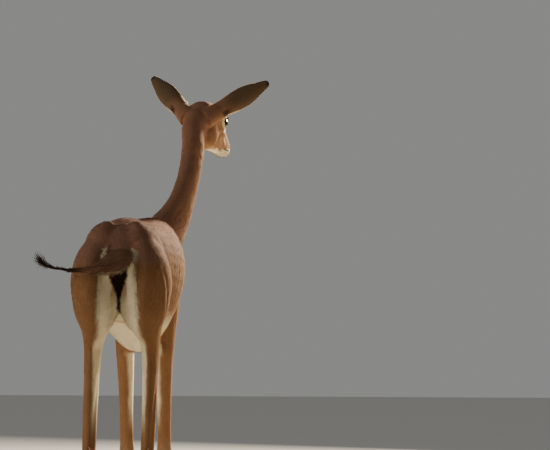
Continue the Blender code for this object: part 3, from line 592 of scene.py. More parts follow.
def carve_body(here):
    """Muscle edges, tendons, ribs and folds."""
    ahead, height = here.ahead, here.height
    side_on = step(0.25, 0.7, np.abs(here.normals[:, 0]))
    hind, fore, neck = here.share("hind"), here.share("fore"), here.share("neck")
    thigh = 0.07 + 0.35 * (0.8 - height)
    hock = curve(height, ((0.4, 0.0), (0.43, 0.014), (0.5, 0.047), (0.58, 0.088)))
    blade = 0.7 + 0.45 * (height - 0.86)
    out = np.zeros(len(ahead))
    for size, middle, width, where in (
        # hip bone, and the hollow before it
        (0.0012, 0.222, 0.018, hump(height, 0.918, 0.018) * side_on),
        (-0.0022, 0.275, 0.034, hump(height, 0.885, 0.034) * side_on),
        # the groove down the back of the thigh, and the muscle behind it
        (-0.0018, thigh, 0.0095, hump(height, 0.79, 0.06) * side_on),
        (0.0012, thigh - 0.02, 0.012, hump(height, 0.78, 0.06) * side_on),
        # above the hock the hollow between bone and tendon, and cords down the shanks
        (-0.003, hock, 0.007, span(height, 0.405, 0.44, 0.52, 0.6) * hind),
        (-0.0012, 0.008, 0.0035, span(height, 0.125, 0.15, 0.31, 0.345) * hind),
        (-0.0012, 0.703, 0.0032, span(height, 0.115, 0.14, 0.27, 0.3) * fore),
        # the pad under each knee's brush
        (0.0014, 0.7175, 0.006, hump(height, BRUSH_HEIGHT, 0.012) * fore),
        # shoulder blade, the hollow behind it and the forearm's muscles
        (0.0012, blade, 0.012, hump(height, 0.855, 0.04) * side_on),
        (-0.0014, blade - 0.04, 0.022, hump(height, 0.83, 0.06) * side_on),
        (-0.0014, 0.7, 0.005, hump(height, 0.56, 0.05) * fore),
    ):
        out += size * hump(ahead, middle, width) * where
    rib = np.cos((ahead - 0.3 * (height - 0.8)) / 0.027 * 2 * math.pi) * span(ahead, 0.3, 0.4, 0.54, 0.6)
    out += 0.0003 * rib * hump(height, 0.795, 0.07) * side_on * here.share("torso")
    # ripples of loose skin before the thigh and behind the elbow
    fold = np.sin((ahead * 0.8 + height * 0.6) / 0.017 * 2 * math.pi)
    out += 0.0003 * fold * hump(ahead, 0.3, 0.045) * hump(height, 0.745, 0.04) * side_on
    out += 0.0003 * fold * hump(ahead, 0.625, 0.03) * hump(height, 0.7, 0.04) * side_on
    # windpipe and the furrow beside it
    share, _ = nearest_on_path(here.points, NECK_PATH)
    facing = here.facing(0.75, 0.1, -0.62)
    out -= 0.0022 * hump(facing, 0.62, 0.16) * neck * step(0.25, 0.45, share)
    out += 0.001 * step(0.85, 0.98, facing) * neck
    return out


def coat_depth(here):
    """How far the skin lies inside the solids."""
    made = 0.0004 + 0.0018 * step(0.4, 0.75, here.points[:, 2])
    made = made * here.share("fore", "hind")
    for k, name in enumerate(FLESH):
        made += SKIN_DEPTH.get(name, LEAST_DEPTH) * here.weights[:, k]
    return made


def build_skin():
    """The skin, and how much of each point belongs to each solid, sharply and spread wide."""
    surface = Surface(raw_skin())
    points = surface.points
    a = into(points, HEAD_ORIGIN, HEAD_AXES)[:, 0]
    point, way = np.array(spot(*NECK_CUT[0])), unit(np.array(place(*NECK_CUT[1])))
    above = (points - point) @ way
    weights = np.eye(len(FLESH))[nearest_node(points)]
    knee_clear(points)
    ears = share_of(weights, "ear")
    low = step(0.75, 0.55, points[:, 2])
    surface.smooth(14, np.where(above < 0, 1.0 - 0.35 * low, 0.0))
    surface.smooth(7, np.where(above < 0, 0.0, 1.0 - 0.4 * ears))
    surface.smooth(12, hump(above, 0.0, 0.012))
    coarse = surface.spread(weights, 24)
    tail = share_of(coarse, "tail")
    surface.smooth(25, 4 * tail * (1 - tail))
    base = surface.spread(ears, 60)
    seam = np.clip(4 * base * (1 - base), 0, 1)
    for _ in range(10):
        points += (surface.mean(points) - points) * (0.5 * seam)[:, None]
    fine = surface.spread(weights, 5)
    normals = surface.normals()
    here = Places(points, normals, coarse)
    on_head = step(-0.06, -0.03, a) * step(0.0, 0.02, above) * (1 - ears)
    out = carve_body(here) * step(0.02, -0.02, above)
    out += carve_ears(Places(points, normals, fine))
    out += (carve_eyes(here) + carve_face(here)) * on_head
    out -= coat_depth(here) + GROWN
    points += normals * out[:, None]
    return surface, fine, coarse


# Markings and painted light: how much of each of four colours covers the fawn at a point


def paint_body(here, rough, saddle, pale, black):
    """Saddle, painted shade on the back of the neck and head, pale underside and rump, and the bare skin
    under the tail.
    """
    ahead, height, s, normals = here.ahead, here.height, here.aside, here.normals
    wobble, ragged = rough
    torso, neck, tail = here.share("torso"), here.share("neck"), here.share("tail")
    fore, legs = here.share("fore"), here.share("fore", "hind")
    body = torso + legs
    share, _ = nearest_on_path(here.points, NECK_PATH)
    lay(saddle, step(-0.009, 0.009, height - curve(ahead, SADDLE_EDGE) + wobble + ragged) * body)
    # painted shade: the saddle's colour laid over the back of the neck and of the head
    dark = step(-0.3, 0.62, here.facing(-0.78, 0.15, 0.6) + wobble * 20)
    lay(saddle, 0.85 * dark * neck)
    lay(saddle, 0.8 * dark * here.poll)
    # belly and inner legs
    belly = step(0.034, -0.002, height - curve(ahead, BELLY_LINE)) * torso
    lay(pale, step(0.2, 0.8, wobble * 14 - normals[:, 2]) * belly)
    inward = -normals[:, 0] * np.sign(here.left)
    inner = step(0.3, 0.9, inward + wobble * 16) * legs
    lay(pale, inner * np.where(ahead > 0.4, step(0.4, 0.5, height), step(0.44, 0.55, height)))
    # buttocks, with a tawny sliver beside the cleft
    reach = 0.08 * step(0.77, 0.745, height)
    top = curve(s, ((0.02, 0.866), (0.036, 0.892)))
    at_rear = step(0.11, 0.09, ahead - reach) * step(0.006, -0.004, height - top) * step(0.53, 0.6, height)
    at_rear *= np.maximum(here.rear, inward > 0)
    buttock = step(0.0022, -0.0022, s - curve(height, RUMP_RIM) + wobble * 0.4 + ragged) * at_rear
    lay(pale, buttock)
    sliver = step(0.0225, 0.015, s + wobble * 0.5 + ragged) * span(height, 0.755, 0.8, 0.83, 0.85)
    pale *= 1 - 0.75 * sliver * buttock
    # the pale corner on the side that the tail leaves free, and the groin
    corner = hump(here.left + 0.039, 0.0, 0.006) * step(0.89, 0.88, height + ragged)
    corner *= step(0.858, 0.866, height) * step(0.12, 0.1, ahead)
    groin = step(0.042, 0.034, s) * step(0.3, 0.22, ahead) * step(0.79, 0.76, height)
    lay(pale, np.maximum(0.95 * corner, 0.9 * groin) * (1 - tail))
    # chest, throat and lower legs
    chest = step(0.3, 0.8, here.facing(0.6, 0.0, -0.8)) * step(0.055, 0.025, s) * torso
    lay(pale, 0.9 * chest * step(0.55, 0.7, ahead) * step(0.84, 0.76, height))
    throat = step(0.72, 0.99, here.facing(0.75, -0.1, -0.6))
    lay(pale, 0.15 * throat * neck * step(0.45, 0.95, share))
    lay(pale, 0.1 * throat * here.poll)
    lay(pale, 0.18 * step(0.42, 0.3, height) * legs)
    # bare black skin under the tail, painted shade in the cleft between the thighs below it, the knees'
    # brushes and the feet
    bare = step(0.0014, -0.001, s - curve(height, BARE_SKIN) + ragged * 0.25) * here.rear
    bare *= step(0.1, 0.08, ahead) * step(0.705, 0.725, height)
    # painted shade: black laid in the narrow cleft between the thighs
    cleft_shade = step(0.0042, 0.0022, s + ragged) * span(height, 0.712, 0.735, 0.78, 0.8)
    cleft_shade *= step(0.13, 0.11, ahead) * body
    lay(black, np.maximum(bare, 0.85 * cleft_shade) * step(0.893, 0.884, height) * (1 - tail))
    lay(black, 0.75 * hump(height, BRUSH_HEIGHT, 0.022) * step(0.7, 0.712, ahead) * fore)
    lay(black, 0.55 * step(0.052, 0.04, height) * legs)


def paint_tail(here, rough, saddle, pale, black):
    """Dark above, its end black, and whitish beneath."""
    down = -here.normals[:, 2]
    tail = here.share("tail")
    along, _ = nearest_on_path(here.points, TAIL_PATH)
    lay(saddle, tail)
    lay(black, tail * step(0.34, 0.6, along))
    lay(black, 0.18 * tail * step(0.12, 0.3, along) * step(0.4, -0.2, down))
    pale *= 1 - tail
    lay(pale, step(0.55, 0.9, down + rough[0] * 10) * tail * step(0.4, 0.26, along))
    # a dark spot on the rump, above the tail's root and to its left
    lay(black, 0.7 * hump(np.hypot(here.left - 0.0205, here.height - 0.8975), 0.0, 0.0048) * here.rear)


def paint_head(here, rough, saddle, pale, black):
    """Darker crown, pale jaw and lips, a pale ring round each eye, and the black of nose and gland."""
    a, l, u = here.on_head
    s = np.abs(l)
    wobble, ragged = rough
    head = here.share("head")
    up = here.normals @ np.array(HEAD_AXES.col[2])
    line = curve(a, MOUTH_LINE)
    crown = step(0.25, 0.85, up + wobble * 20) * head * (1 - here.poll)
    lay(saddle, crown * 0.75 * step(0.235, 0.2, a))
    jaw = step(-0.62, -0.92, up + wobble * 16) * step(-0.022, -0.032, u) * step(0.045, 0.09, a)
    lay(pale, 0.75 * jaw * step(0.07, 0.12, a) * head)
    chin = step(0.003, -0.002, u - line + wobble * 0.5) * step(0.16, 0.185, a)
    upper_lip = step(0.0075, 0.0045, u - line + wobble * 0.4) * step(0.188, 0.205, a)
    lay(pale, np.maximum(chin, 0.9 * upper_lip) * head)
    for side in (1, -1):
        x, y, z, off = here.on_eye(side)
        near = step(0.05, 0.04, off) * head
        q = np.hypot(x / LID_LENGTH, y / 0.01)
        skew = q - 0.25 * np.clip(x / LID_LENGTH, -1, 1) - 0.18 * np.clip(-y / 0.01, 0, 1)
        ring = step(1.12, 1.2, q) * step(2.05, 1.45, skew + wobble * 50 + ragged * 80) * step(-0.006, 0.0, z)
        ring *= near
        lay(pale, 0.85 * ring)
        saddle *= 1 - ring
        lay(black, step(1.16, 1.08, q) * near * step(-0.004, 0.0, z))
    saddle *= 1 - np.clip(pale * head, 0, 1)
    gland = hump(np.hypot((a - GLAND_AHEAD) / 0.009, (u + 0.004) / 0.006), 0.0, 0.9)
    gland *= step(0.008, 0.013, s)
    tear = hump(u, 0.0035 - 0.25 * (a - 0.118), 0.0022) * span(a, 0.112, 0.118, 0.13, 0.137)
    nose = step(0.2235, 0.229, a) * step(-0.0125, -0.0085, u) * step(0.019, 0.014, s) * head
    whorl = hump(a, 0.02, 0.007) * hump(l, -0.004, 0.006) * step(0.3, 0.7, up)
    lay(black, (gland + 0.7 * tear * step(0.012, 0.016, s)) * head)
    lay(black, nose)
    lay(black, 0.9 * hump(u, line, 0.001) * step(0.168, 0.18, a) * head)
    lay(black, 0.7 * whorl * head)
    pale *= 1 - np.clip(nose, 0, 1)


def paint_ears(here, rough, saddle, pale, black, grey):
    """Grey backs with dark rims and tips, and within them white hair parted by dark lines."""
    wobble, ragged = rough
    for word, out_way in (("left", 1), ("right", -1)):
        x, _, z, face = here.on_ear(word)
        share = z / EAR_LENGTH
        own = here.share(f"ear_{word}")
        inner = step(0.05, 0.35, face) * own
        back = own * (1 - inner)
        lay(grey, back * step(0.08, 0.42, share + wobble * 8))
        off = np.abs(x) / curve(share, EAR_HALF_WIDTH)
        rim = step(0.8, 0.97, off) * step(0.3, 0.45, share)
        # pale hair along the very edge, and painted rim light
        edge = step(0.93, 1.02, off) * span(share, 0.1, 0.25, 0.92, 0.98)
        tip = step(0.93, 0.995, share + ragged * 20)
        # dark hair and painted shade on the back near the base, on the side that faces the head
        inside_of_base = here.normals @ np.array(ear_frame(word)[1].col[0]) * -out_way
        dark_base = hump(share, 0.17, 0.09) * step(0.2, 0.7, inside_of_base)
        darkness = np.maximum(np.maximum(0.3 * rim, 0.8 * tip), 0.85 * dark_base)
        lay(black, back * darkness * (1 - edge))
        fan = x / np.maximum(0.45 + 0.9 * share, 0.5) + 0.0016 * np.sin(share * 13) + ragged * 0.8
        lines = np.cos(fan / 0.0112 * 2 * math.pi + 0.9) + 0.35 * ripple(here.points, 0.016, 9)
        streak = step(0.05, 0.8, lines) * step(0.16, 0.34, share) * step(0.86, 0.58, share + ragged * 40)
        pale *= 1 - own
        lay(pale, np.maximum(inner * (0.95 - 0.25 * rim), 0.55 * edge * own))
        # dark lines, and dark hair with painted shade deep in the cup by the base
        lay(black, inner * np.maximum(0.88 * streak, 0.8 * step(0.26, 0.1, share)))
        lay(black, inner * np.maximum(0.45 * rim, 0.9 * tip))
        saddle *= 1 - own
        lay(saddle, 0.75 * back)


def marks_of(here):
    """Columns: dark saddle with painted shade on the nape, pale hair with painted rim light on the ears'
    edges, black with painted shade in the cleft and ears, grey-brown of the ears.
    """
    wobble = ripple(here.points, 0.03, 3) * 0.004 + ripple(here.points, 0.009, 4) * 0.0015
    rough = wobble, ripple(here.points, 0.0045, 5) * 0.0012
    layers = np.zeros((4, len(here.points)))
    for paint in (paint_body, paint_tail, paint_head):
        paint(here, rough, *layers[:3])
    paint_ears(here, rough, *layers)
    return np.clip(np.stack(layers, axis=1), 0, 1)


# The lie of the coat


def lie_of(here):
    """The way that the hair points at each place, along the surface."""
    height, normals = here.height, here.normals
    a, _, u = here.on_head

    def ways(*columns):
        ahead, left, up = np.broadcast_arrays(*columns, a)[:3]
        return np.stack([left, -ahead, up], axis=1)

    rear = step(0.35, 0.85, normals[:, 1])[:, None]
    front = step(0.3, 0.8, -normals[:, 1])[:, None]
    trunk = ways(-1.0, 0.0, -0.12 - 0.45 * np.abs(normals[:, 0]))
    trunk += rear * ways(0.0, 0.35 * np.sign(here.left), -1.6) + front * ways(0.0, 0.0, -1.0)
    high = step(0.62, 0.84, height)
    neck = -nearest_on_path(here.points, NECK_PATH)[1]
    low_cheek = step(0.01, -0.03, u) * step(0.12, 0.05, a)
    axes = np.array(HEAD_AXES)
    head = -axes[:, 0] - axes[:, 2] * (0.15 + 0.6 * low_cheek)[:, None]
    behind = step(0.02, -0.01, a)[:, None]
    total = np.zeros(here.points.shape)
    for kind, way in (
        ("torso", trunk),
        ("neck", neck),
        ("head", head * (1 - behind) + neck * behind),
        ("hind", ways(-0.15 - 0.65 * high, 0.0, -1.0 + 0.25 * high)),
        ("fore", ways(-0.1 - 0.3 * step(0.6, 0.75, height), 0.0, -1.0)),
        ("ear_left", np.array(ear_frame("left")[1].col[2])),
        ("ear_right", np.array(ear_frame("right")[1].col[2])),
        ("tail", nearest_on_path(here.points, TAIL_PATH)[1]),
    ):
        total += way * here.share(kind)[:, None]
    return unit(total - normals * np.sum(total * normals, axis=1, keepdims=True))


def hair_length(here):
    """The coat's length at each place."""
    height = here.points[:, 2]
    a = here.on_head[0]
    face = 0.0028 + 0.0034 * step(0.2, 0.02, a) + 0.0036 * step(0.0, -0.03, a)
    leg = 0.0062 + 0.0052 * step(0.45, 0.78, height) + 0.0022 * step(0.06, 0.042, height)
    made = 0.0122 * here.share("torso") + 0.0104 * here.share("neck") + face * here.share("head")
    return made + 0.013 * here.share("tail") + 0.0042 * here.share("ear") + leg * here.share("fore", "hind")


# Tufts


def set_attribute(mesh, name, kind, values):
    made = mesh.attributes.new(name, kind, "POINT")
    field = {"FLOAT": "value", "FLOAT_VECTOR": "vector", "FLOAT_COLOR": "color"}[kind]
    made.data.foreach_set(field, np.ascontiguousarray(values, np.float32).ravel())


def mesh_of(name, points, triangles):
    mesh = bpy.data.meshes.new(name)
    mesh.vertices.add(len(points))
    mesh.vertices.foreach_set("co", np.ascontiguousarray(points, np.float32).ravel())
    count = len(triangles)
    mesh.loops.add(count * 3)
    mesh.polygons.add(count)
    mesh.polygons.foreach_set("loop_start", np.arange(0, count * 3, 3, dtype=np.int32))
    mesh.loops.foreach_set("vertex_index", np.ascontiguousarray(triangles, np.int32).ravel())
    mesh.update(calc_edges=True)
    return mesh


# A form of tuft has its points, as shares of its length along it and of its width across and up, and the
# triangles between them
SHORT = (
    np.array([(0, -0.5, 0), (0, 0, 0.5), (0, 0.5, 0), (1, 0, 0)]),
    np.array([(0, 1, 2), (0, 3, 1), (1, 3, 2), (2, 3, 0)]),
)
MEDIUM = (
    np.array([(0, -0.35, 0), (0, 0.35, 0), (0.5, -0.5, 0), (0.5, 0, 0.28), (0.5, 0.5, 0), (1, 0, 0)]),
    np.array([(0, 2, 3), (0, 3, 1), (1, 3, 4), (0, 4, 2), (0, 1, 4), (2, 5, 3), (3, 5, 4), (4, 5, 2)]),
)


def long_form():
    """Three rings of three points and a tip."""
    points = [
        (share, side * size / 2, up * size)
        for share, size in ((0, 0.6), (0.33, 1.0), (0.7, 0.62))
        for side, up in ((-1, 0), (0, 0.35), (1, 0))
    ]
    faces = [
        face
        for low in (0, 3)
        for k, after in ((0, 1), (1, 2), (2, 0))
        for face in ((low + k, low + 3 + after, low + after), (low + k, low + 3 + k, low + 3 + after))
    ]
    ends = [(6, 9, 7), (7, 9, 8), (8, 9, 6), (0, 1, 2)]
    return np.array([*points, (1, 0, 0)]), np.array(faces + ends)


LONG = long_form()


def blades(form, roots, normals, ways, lengths, widths, lifts, bends):
    """Points of many tufts at once: a row of points for each root. bends is the tip's way off the lie."""
    long, wide, high = lengths[:, None], widths[:, None], (lengths * lifts)[:, None]
    across = unit(np.cross(normals, ways))
    sunk = roots - normals * np.minimum(0.0008, 0.12 * long)
    rows = []
    for share, aside, up in form[0]:
        middle = sunk + ways * (long * share) + normals * (high * math.sin(1.9 * share))
        rows.append(middle + bends * (long * share**2) + across * wide * aside + normals * wide * up)
    return np.stack(rows, axis=1)


def coat_piece(name, form, tufts, normals, across, centres, material, **values):
    """One mesh of tufts with its markings and painted light and its own unwrap, shaded like the skin beneath
    it.
    """
    count, each = tufts.shape[:2]
    tips, sides = form[0][:, 0], np.sign(form[0][:, 1])
    triangles = (form[1] + (np.arange(count) * each)[:, None, None]).reshape(-1, 3)
    low, high = np.array(CAD_BOX[0]), np.array(CAD_BOX[1])
    mesh = mesh_of(name, np.clip(tufts.reshape(-1, 3), low + 0.0001, high - 0.0001), triangles)
    for key, kind in (("marks", "FLOAT_COLOR"), ("zones", "FLOAT_COLOR"), ("shade", "FLOAT")):
        set_attribute(mesh, key, kind, np.repeat(values[key], each, axis=0))
    set_attribute(mesh, "tip", "FLOAT", np.tile(tips, count))
    offset = np.stack([sides, tips * 2 - 1], axis=1) * 0.0015
    uv = (centres[:, None, :] + offset).reshape(-1, 2)
    layer = mesh.uv_layers.new(name="OFBake")
    layer.data.foreach_set("uv", uv[triangles.ravel()].astype(np.float32).ravel())
    turned = normals[:, None, :] + across[:, None, :] * (sides * 0.35)[:, None]
    mesh.shade_smooth()
    mesh.normals_split_custom_set_from_vertices(unit(turned.reshape(-1, 3)).tolist())
    made = new_object(name, mesh)
    mesh.materials.append(material)
    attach(made, "root")
    return made


def unwrap_of(skin_mesh, chosen):
    """A function that gives each place on the chosen faces of the skin its place on a flat unwrap of them."""
    bm = bmesh.new()
    bm.from_mesh(skin_mesh)
    bm.faces.ensure_lookup_table()
    drop = [face for face, keep in zip(bm.faces, chosen) if not keep]
    bmesh.ops.delete(bm, geom=drop, context="FACES")
    flat = new_object("flat", mesh_from(bm, "flat"))
    thin = flat.modifiers.new("thin", "DECIMATE")
    thin.ratio = min(1.0, 5000 / max(1, len(flat.data.polygons) * 2))
    flat = new_object("flat", settled(flat))
    bpy.context.view_layer.objects.active = flat
    flat.select_set(True)
    bpy.ops.object.mode_set(mode="EDIT")
    bpy.ops.mesh.select_all(action="SELECT")
    bpy.ops.uv.smart_project(angle_limit=1.15, island_margin=0.01)
    bpy.ops.object.mode_set(mode="OBJECT")
    mesh = flat.data
    mesh.calc_loop_triangles()
    verts = [v.co.copy() for v in mesh.vertices]
    corners = [tuple(t.vertices) for t in mesh.loop_triangles]
    layer = mesh.uv_layers.active.data
    flats = [[layer[k].uv.to_3d() for k in t.loops] for t in mesh.loop_triangles]
    tree = BVHTree.FromPolygons(verts, corners)
    bpy.data.objects.remove(flat)

    def unwrap(points):
        made = np.empty((len(points), 2))
        for i, point in enumerate(points):
            found, _, index, _ = tree.find_nearest(Vector(point))
            a, b, c = (verts[k] for k in corners[index])
            made[i] = geometry.barycentric_transform(found, a, b, c, *flats[index]).to_2d()
        return made

    return unwrap


class Skin:
    """The finished skin with everything that its coat is sown from."""

    def __init__(self, surface, fine, coarse):
        self.mesh, self.points, self.normals = surface.mesh, surface.points, surface.normals()
        self.marks = marks_of(Places(self.points, self.normals, fine))
        here = Places(self.points, self.normals, coarse)
        self.lie, self.length = lie_of(here), hair_length(here)
        zones = here.share("fore", "hind"), here.share("neck"), here.share("head"), here.share("ear")
        self.zones = np.stack(zones, axis=1)
        self.mesh.calc_loop_triangles()
        self.corners = read(self.mesh.loop_triangles, "vertices", np.int32, 3)
        self.polygon = read(self.mesh.loop_triangles, "polygon_index", np.int32)
        a, b, c = (self.points[self.corners[:, k]] for k in range(3))
        self.areas = np.linalg.norm(np.cross(b - a, c - a), axis=1) / 2
        first = self.corners[:, 0]
        owner = np.eye(len(FLESH))[fine.argmax(axis=1)[first]]
        self.triangles = Places(self.points[self.corners].mean(axis=1), self.normals[first], owner)

    def sow(self, weight, count, draw):
        """Random places on the skin, more where the weight is high: triangles and their corners' shares."""
        chance = np.cumsum(self.areas * weight)
        chosen = np.searchsorted(chance, (np.arange(count) + draw.uniform(size=count)) / count * chance[-1])
        chosen = np.minimum(chosen, len(self.corners) - 1)
        r1, r2 = np.sqrt(draw.uniform(size=count)), draw.uniform(size=count)
        return chosen, np.stack([1 - r1, r1 * (1 - r2), r1 * r2], axis=1)

    def at(self, values, chosen, shares):
        corner = values[self.corners[chosen]]
        if values.ndim == 1:
            return (corner * shares).sum(1)
        return (corner * shares[:, :, None]).sum(1)


def sow_coat(
    skin, material, seed, name, wanted, cover, form, slim,
    length=None, lie=None, marks=None, lift=(0.05, 0.17), stray=0.16, droop=(0, 0, 0),
):
    """Tufts over the wanted triangles of the skin, in pieces of no more than MOST_TRIANGLES.

    A length, lie or marks given here is one for all, or one for each of the skin's points.
    """
    draw = np.random.default_rng(seed)
    length, lie, marks = (
        np.broadcast_to(usual if own is None else own, usual.shape)
        for own, usual in ((length, skin.length), (lie, skin.lie), (marks, skin.marks))
    )
    dense = np.where(wanted, cover / (0.6 * slim * length[skin.corners].mean(1) ** 2), 0.0)
    amount = skin.areas * dense
    pieces = -(-int(amount.sum()) // (MOST_TRIANGLES // len(form[1])))
    order = np.argsort(skin.triangles.points[:, 1] * wanted + np.where(wanted, 0, 1e3), kind="stable")
    total = np.cumsum(amount[order])
    group = np.full(len(order), -1)
    group[order] = np.minimum((total / max(total[-1], 1e-9) * pieces).astype(int), pieces - 1)
    made = []
    for k in range(pieces):
        own = wanted & (group == k)
        number = int((amount * own).sum())
        sown = skin.sow(dense * own, number, draw)
        roots = skin.at(skin.points, *sown)
        normals = unit(skin.at(skin.normals, *sown))
        ways = skin.at(lie, *sown)
        ways = unit(ways - normals * np.sum(ways * normals, axis=1, keepdims=True))
        turn = draw.normal(0, stray, number)[:, None]
        ways = ways * np.cos(turn) + np.cross(normals, ways) * np.sin(turn)
        size = skin.at(length, *sown) * draw.uniform(0.72, 1.25, number)
        width = size * slim * draw.uniform(0.8, 1.2, number)
        rise = draw.uniform(*lift, number)
        across = np.cross(normals, ways)
        sway = across * draw.normal(0, 0.1, number)[:, None] + np.array(droop)
        tufts = blades(form, roots, normals, ways, size, width, rise, sway)
        colours = np.clip(skin.at(marks, *sown) + draw.normal(0, 0.03, (number, 1)), 0, 1)
        faces = np.zeros(len(skin.mesh.polygons), bool)
        faces[skin.polygon[own]] = True
        made.append(
            coat_piece(
                f"coat_{name}" if pieces == 1 else f"coat_{name}_{k + 1}",
                form, tufts, normals, across, unwrap_of(skin.mesh, faces)(roots), material,
                marks=colours, zones=skin.at(skin.zones, *sown), shade=draw.normal(0, 1, number),
            )
        )
    return made


# Materials


def colour(red, green, blue):
    """Linear colour from screen values of 0 to 255."""
    return tuple((v / 255) ** 2.2 for v in (red, green, blue))


FAWN = colour(130, 95, 66)
SADDLE = colour(136, 99, 79)
PALE = colour(206, 190, 156)
BLACK = colour(34, 27, 22)
EAR_GREY = colour(92, 74, 56)
# How much darker the blotches in the fawn and in the saddle are
FAWN_BLOTCH = (0.78, 0.72, 0.66)
SADDLE_BLOTCH = (0.7, 0.66, 0.66)
# The scale of the strands' noise across the hair and along it
FINE, LENGTHWISE = 900.0, 70.0


class Shading:
    """A new material, with short ways to put nodes into it."""

    def __init__(self, name):
        self.material = bpy.data.materials.new(name)
        self.material.use_nodes = True
        self.tree = self.material.node_tree
        self.shader = self.tree.nodes["Principled BSDF"]

    def fill(self, socket, value):
        """Links an output to the socket, or sets the socket's own value."""
        if isinstance(value, bpy.types.NodeSocket):
            self.tree.links.new(value, socket)
        elif socket.type == "RGBA":
            socket.default_value = (*value, 1.0)
        else:
            socket.default_value = value

    def put(self, made, **inputs):
        """Fills the node's inputs, with a low line for each space in their names."""
        for key, value in inputs.items():
            self.fill(made.inputs[key.replace("_", " ")], value)
        return made.outputs

    def node(self, kind, settings=None, **inputs):
        """The outputs of a new node."""
        made = self.tree.nodes.new(f"ShaderNode{kind}")
        for key, value in (settings or {}).items():
            setattr(made, key, value)
        return self.put(made, **inputs)

    def attribute(self, name):
        return self.node("Attribute", {"attribute_name": name})

    def channels(self, name):
        """The four numbers of a colour attribute."""
        outputs = self.attribute(name)
        return *self.node("SeparateColor", Color=outputs["Color"]), outputs["Alpha"]

    def maths(self, operation, a, b=0.0):
        made = self.tree.nodes.new("ShaderNodeMath")
        made.operation = operation
        self.fill(made.inputs[0], a)
        self.fill(made.inputs[1], b)
        return made.outputs[0]

    def scaled(self, value, factor, more):
        return self.maths("ADD", self.maths("MULTIPLY", value, factor), more)

    def distance(self, x, y):
        squares = [self.maths("MULTIPLY", value, value) for value in (x, y)]
        return self.maths("SQRT", self.maths("ADD", *squares))

    def mixed(self, factor, a, b, blend="MIX"):
        made = self.tree.nodes.new("ShaderNodeMix")
        made.data_type, made.blend_type = "RGBA", blend
        for k, value in ((0, factor), (6, a), (7, b)):
            self.fill(made.inputs[k], value)
        return made.outputs[2]

    def noise(self, where, scale, detail, roughness=0.5):
        return self.node("TexNoise", Vector=where, Scale=scale, Detail=detail, Roughness=roughness)["Fac"]

    def remap(self, value, low, high, to_low=0.0, to_high=1.0):
        limits = {"From_Min": low, "From_Max": high, "To_Min": to_low, "To_Max": to_high}
        return self.node("MapRange", Value=value, **limits)[0]


def coat_material(name, tuft):
    """Markings with their painted light, blotches and strands, for the tufts or for the skin under them."""
    coat = Shading(name)
    saddle, pale, black, grey = coat.channels("marks")
    limb, neck, head, ear = coat.channels("zones")
    position = coat.node("TexCoord")["Object"]
    blotch = coat.noise(position, 22.0, 4.0, 0.55)
    clump = coat.noise(position, 190.0, 3.0, 0.6)
    # noise drawn out along the lie of the coat, another way in each zone
    strands = None
    for zone, turn, scale in (
        (None, (18, 0, 0), (FINE, LENGTHWISE, FINE)),
        (limb, (0, 0, 0), (FINE, FINE, LENGTHWISE)),
        (neck, (40, -14, 0), (FINE, FINE, LENGTHWISE)),
        (head, (-22, 0, 14), (FINE, LENGTHWISE * 1.5, FINE)),
        (ear, (0, 60, 0), (FINE * 1.2, FINE * 1.2, LENGTHWISE * 1.5)),
    ):
        turn = [math.radians(angle) for angle in turn]
        along = coat.node("Mapping", Vector=position, Rotation=turn, Scale=scale)[0]
        noise = coat.noise(along, 1.0, 3.0, 0.6)
        strands = noise if zone is None else coat.mixed(zone, strands, noise)
    warm, rich = (
        coat.mixed(blotch, plain, tuple(c * k for c, k in zip(plain, darker)))
        for plain, darker in ((FAWN, FAWN_BLOTCH), (SADDLE, SADDLE_BLOTCH))
    )
    base = coat.mixed(saddle, warm, rich)
    for amount, hue in ((grey, EAR_GREY), (pale, PALE), (black, BLACK)):
        base = coat.mixed(amount, base, hue)
    shade = coat.remap(strands, 0.32, 0.68, 0.8, 1.16)
    shade = coat.maths("MULTIPLY", shade, coat.scaled(clump, 0.24, 0.88))
    if tuft:
        # each tuft darker at its root and paler to its tip: pale-tipped hair, and painted light that
        # brightens the coat's rims
        for key, factor, more in (("shade", 0.085, 1.0), ("tip", 0.36, 0.86)):
            shade = coat.maths("MULTIPLY", shade, coat.scaled(coat.attribute(key)["Fac"], factor, more))
    else:
        shade = coat.maths("MULTIPLY", shade, 0.94)
        relief = coat.maths("ADD", strands, coat.maths("MULTIPLY", clump, 0.6))
        bump = coat.node("Bump", Strength=0.55, Distance=0.0009, Height=relief)
        coat.put(coat.shader, Normal=bump[0])
    shade = coat.node("CombineColor", Red=shade, Green=shade, Blue=shade)[0]
    coat.put(coat.shader, Base_Color=coat.mixed(1.0, base, shade, "MULTIPLY"))
    coat.put(coat.shader, Roughness=0.85, Specular_IOR_Level=0.01)
    return coat.material


def eye_material():
    """Brown iris with a level pupil, a dark edge and the white's rim."""
    eye = Shading("eye")
    gaze = eye.attribute("gaze")["Vector"]
    x, y, _ = eye.node("SeparateXYZ", Vector=gaze)
    far = eye.distance(x, y)
    oval = eye.distance(eye.maths("DIVIDE", x, 0.42), eye.maths("DIVIDE", y, 0.17))
    base = eye.mixed(eye.noise(gaze, 9.0, 5.0, 0.7), colour(17, 11, 8), colour(40, 25, 15))
    for where, low, high, hue in (
        (oval, 1.15, 0.9, colour(6, 5, 6)),
        (far, 0.66, 0.78, colour(14, 9, 7)),
        (far, 0.84, 0.93, colour(52, 36, 28)),
    ):
        base = eye.mixed(eye.remap(where, low, high), base, hue)
    eye.put(eye.shader, Base_Color=base, Roughness=0.16, Specular_IOR_Level=0.22)
    eye.put(eye.shader, Coat_Weight=0.12, Coat_Roughness=0.02)
    return eye.material


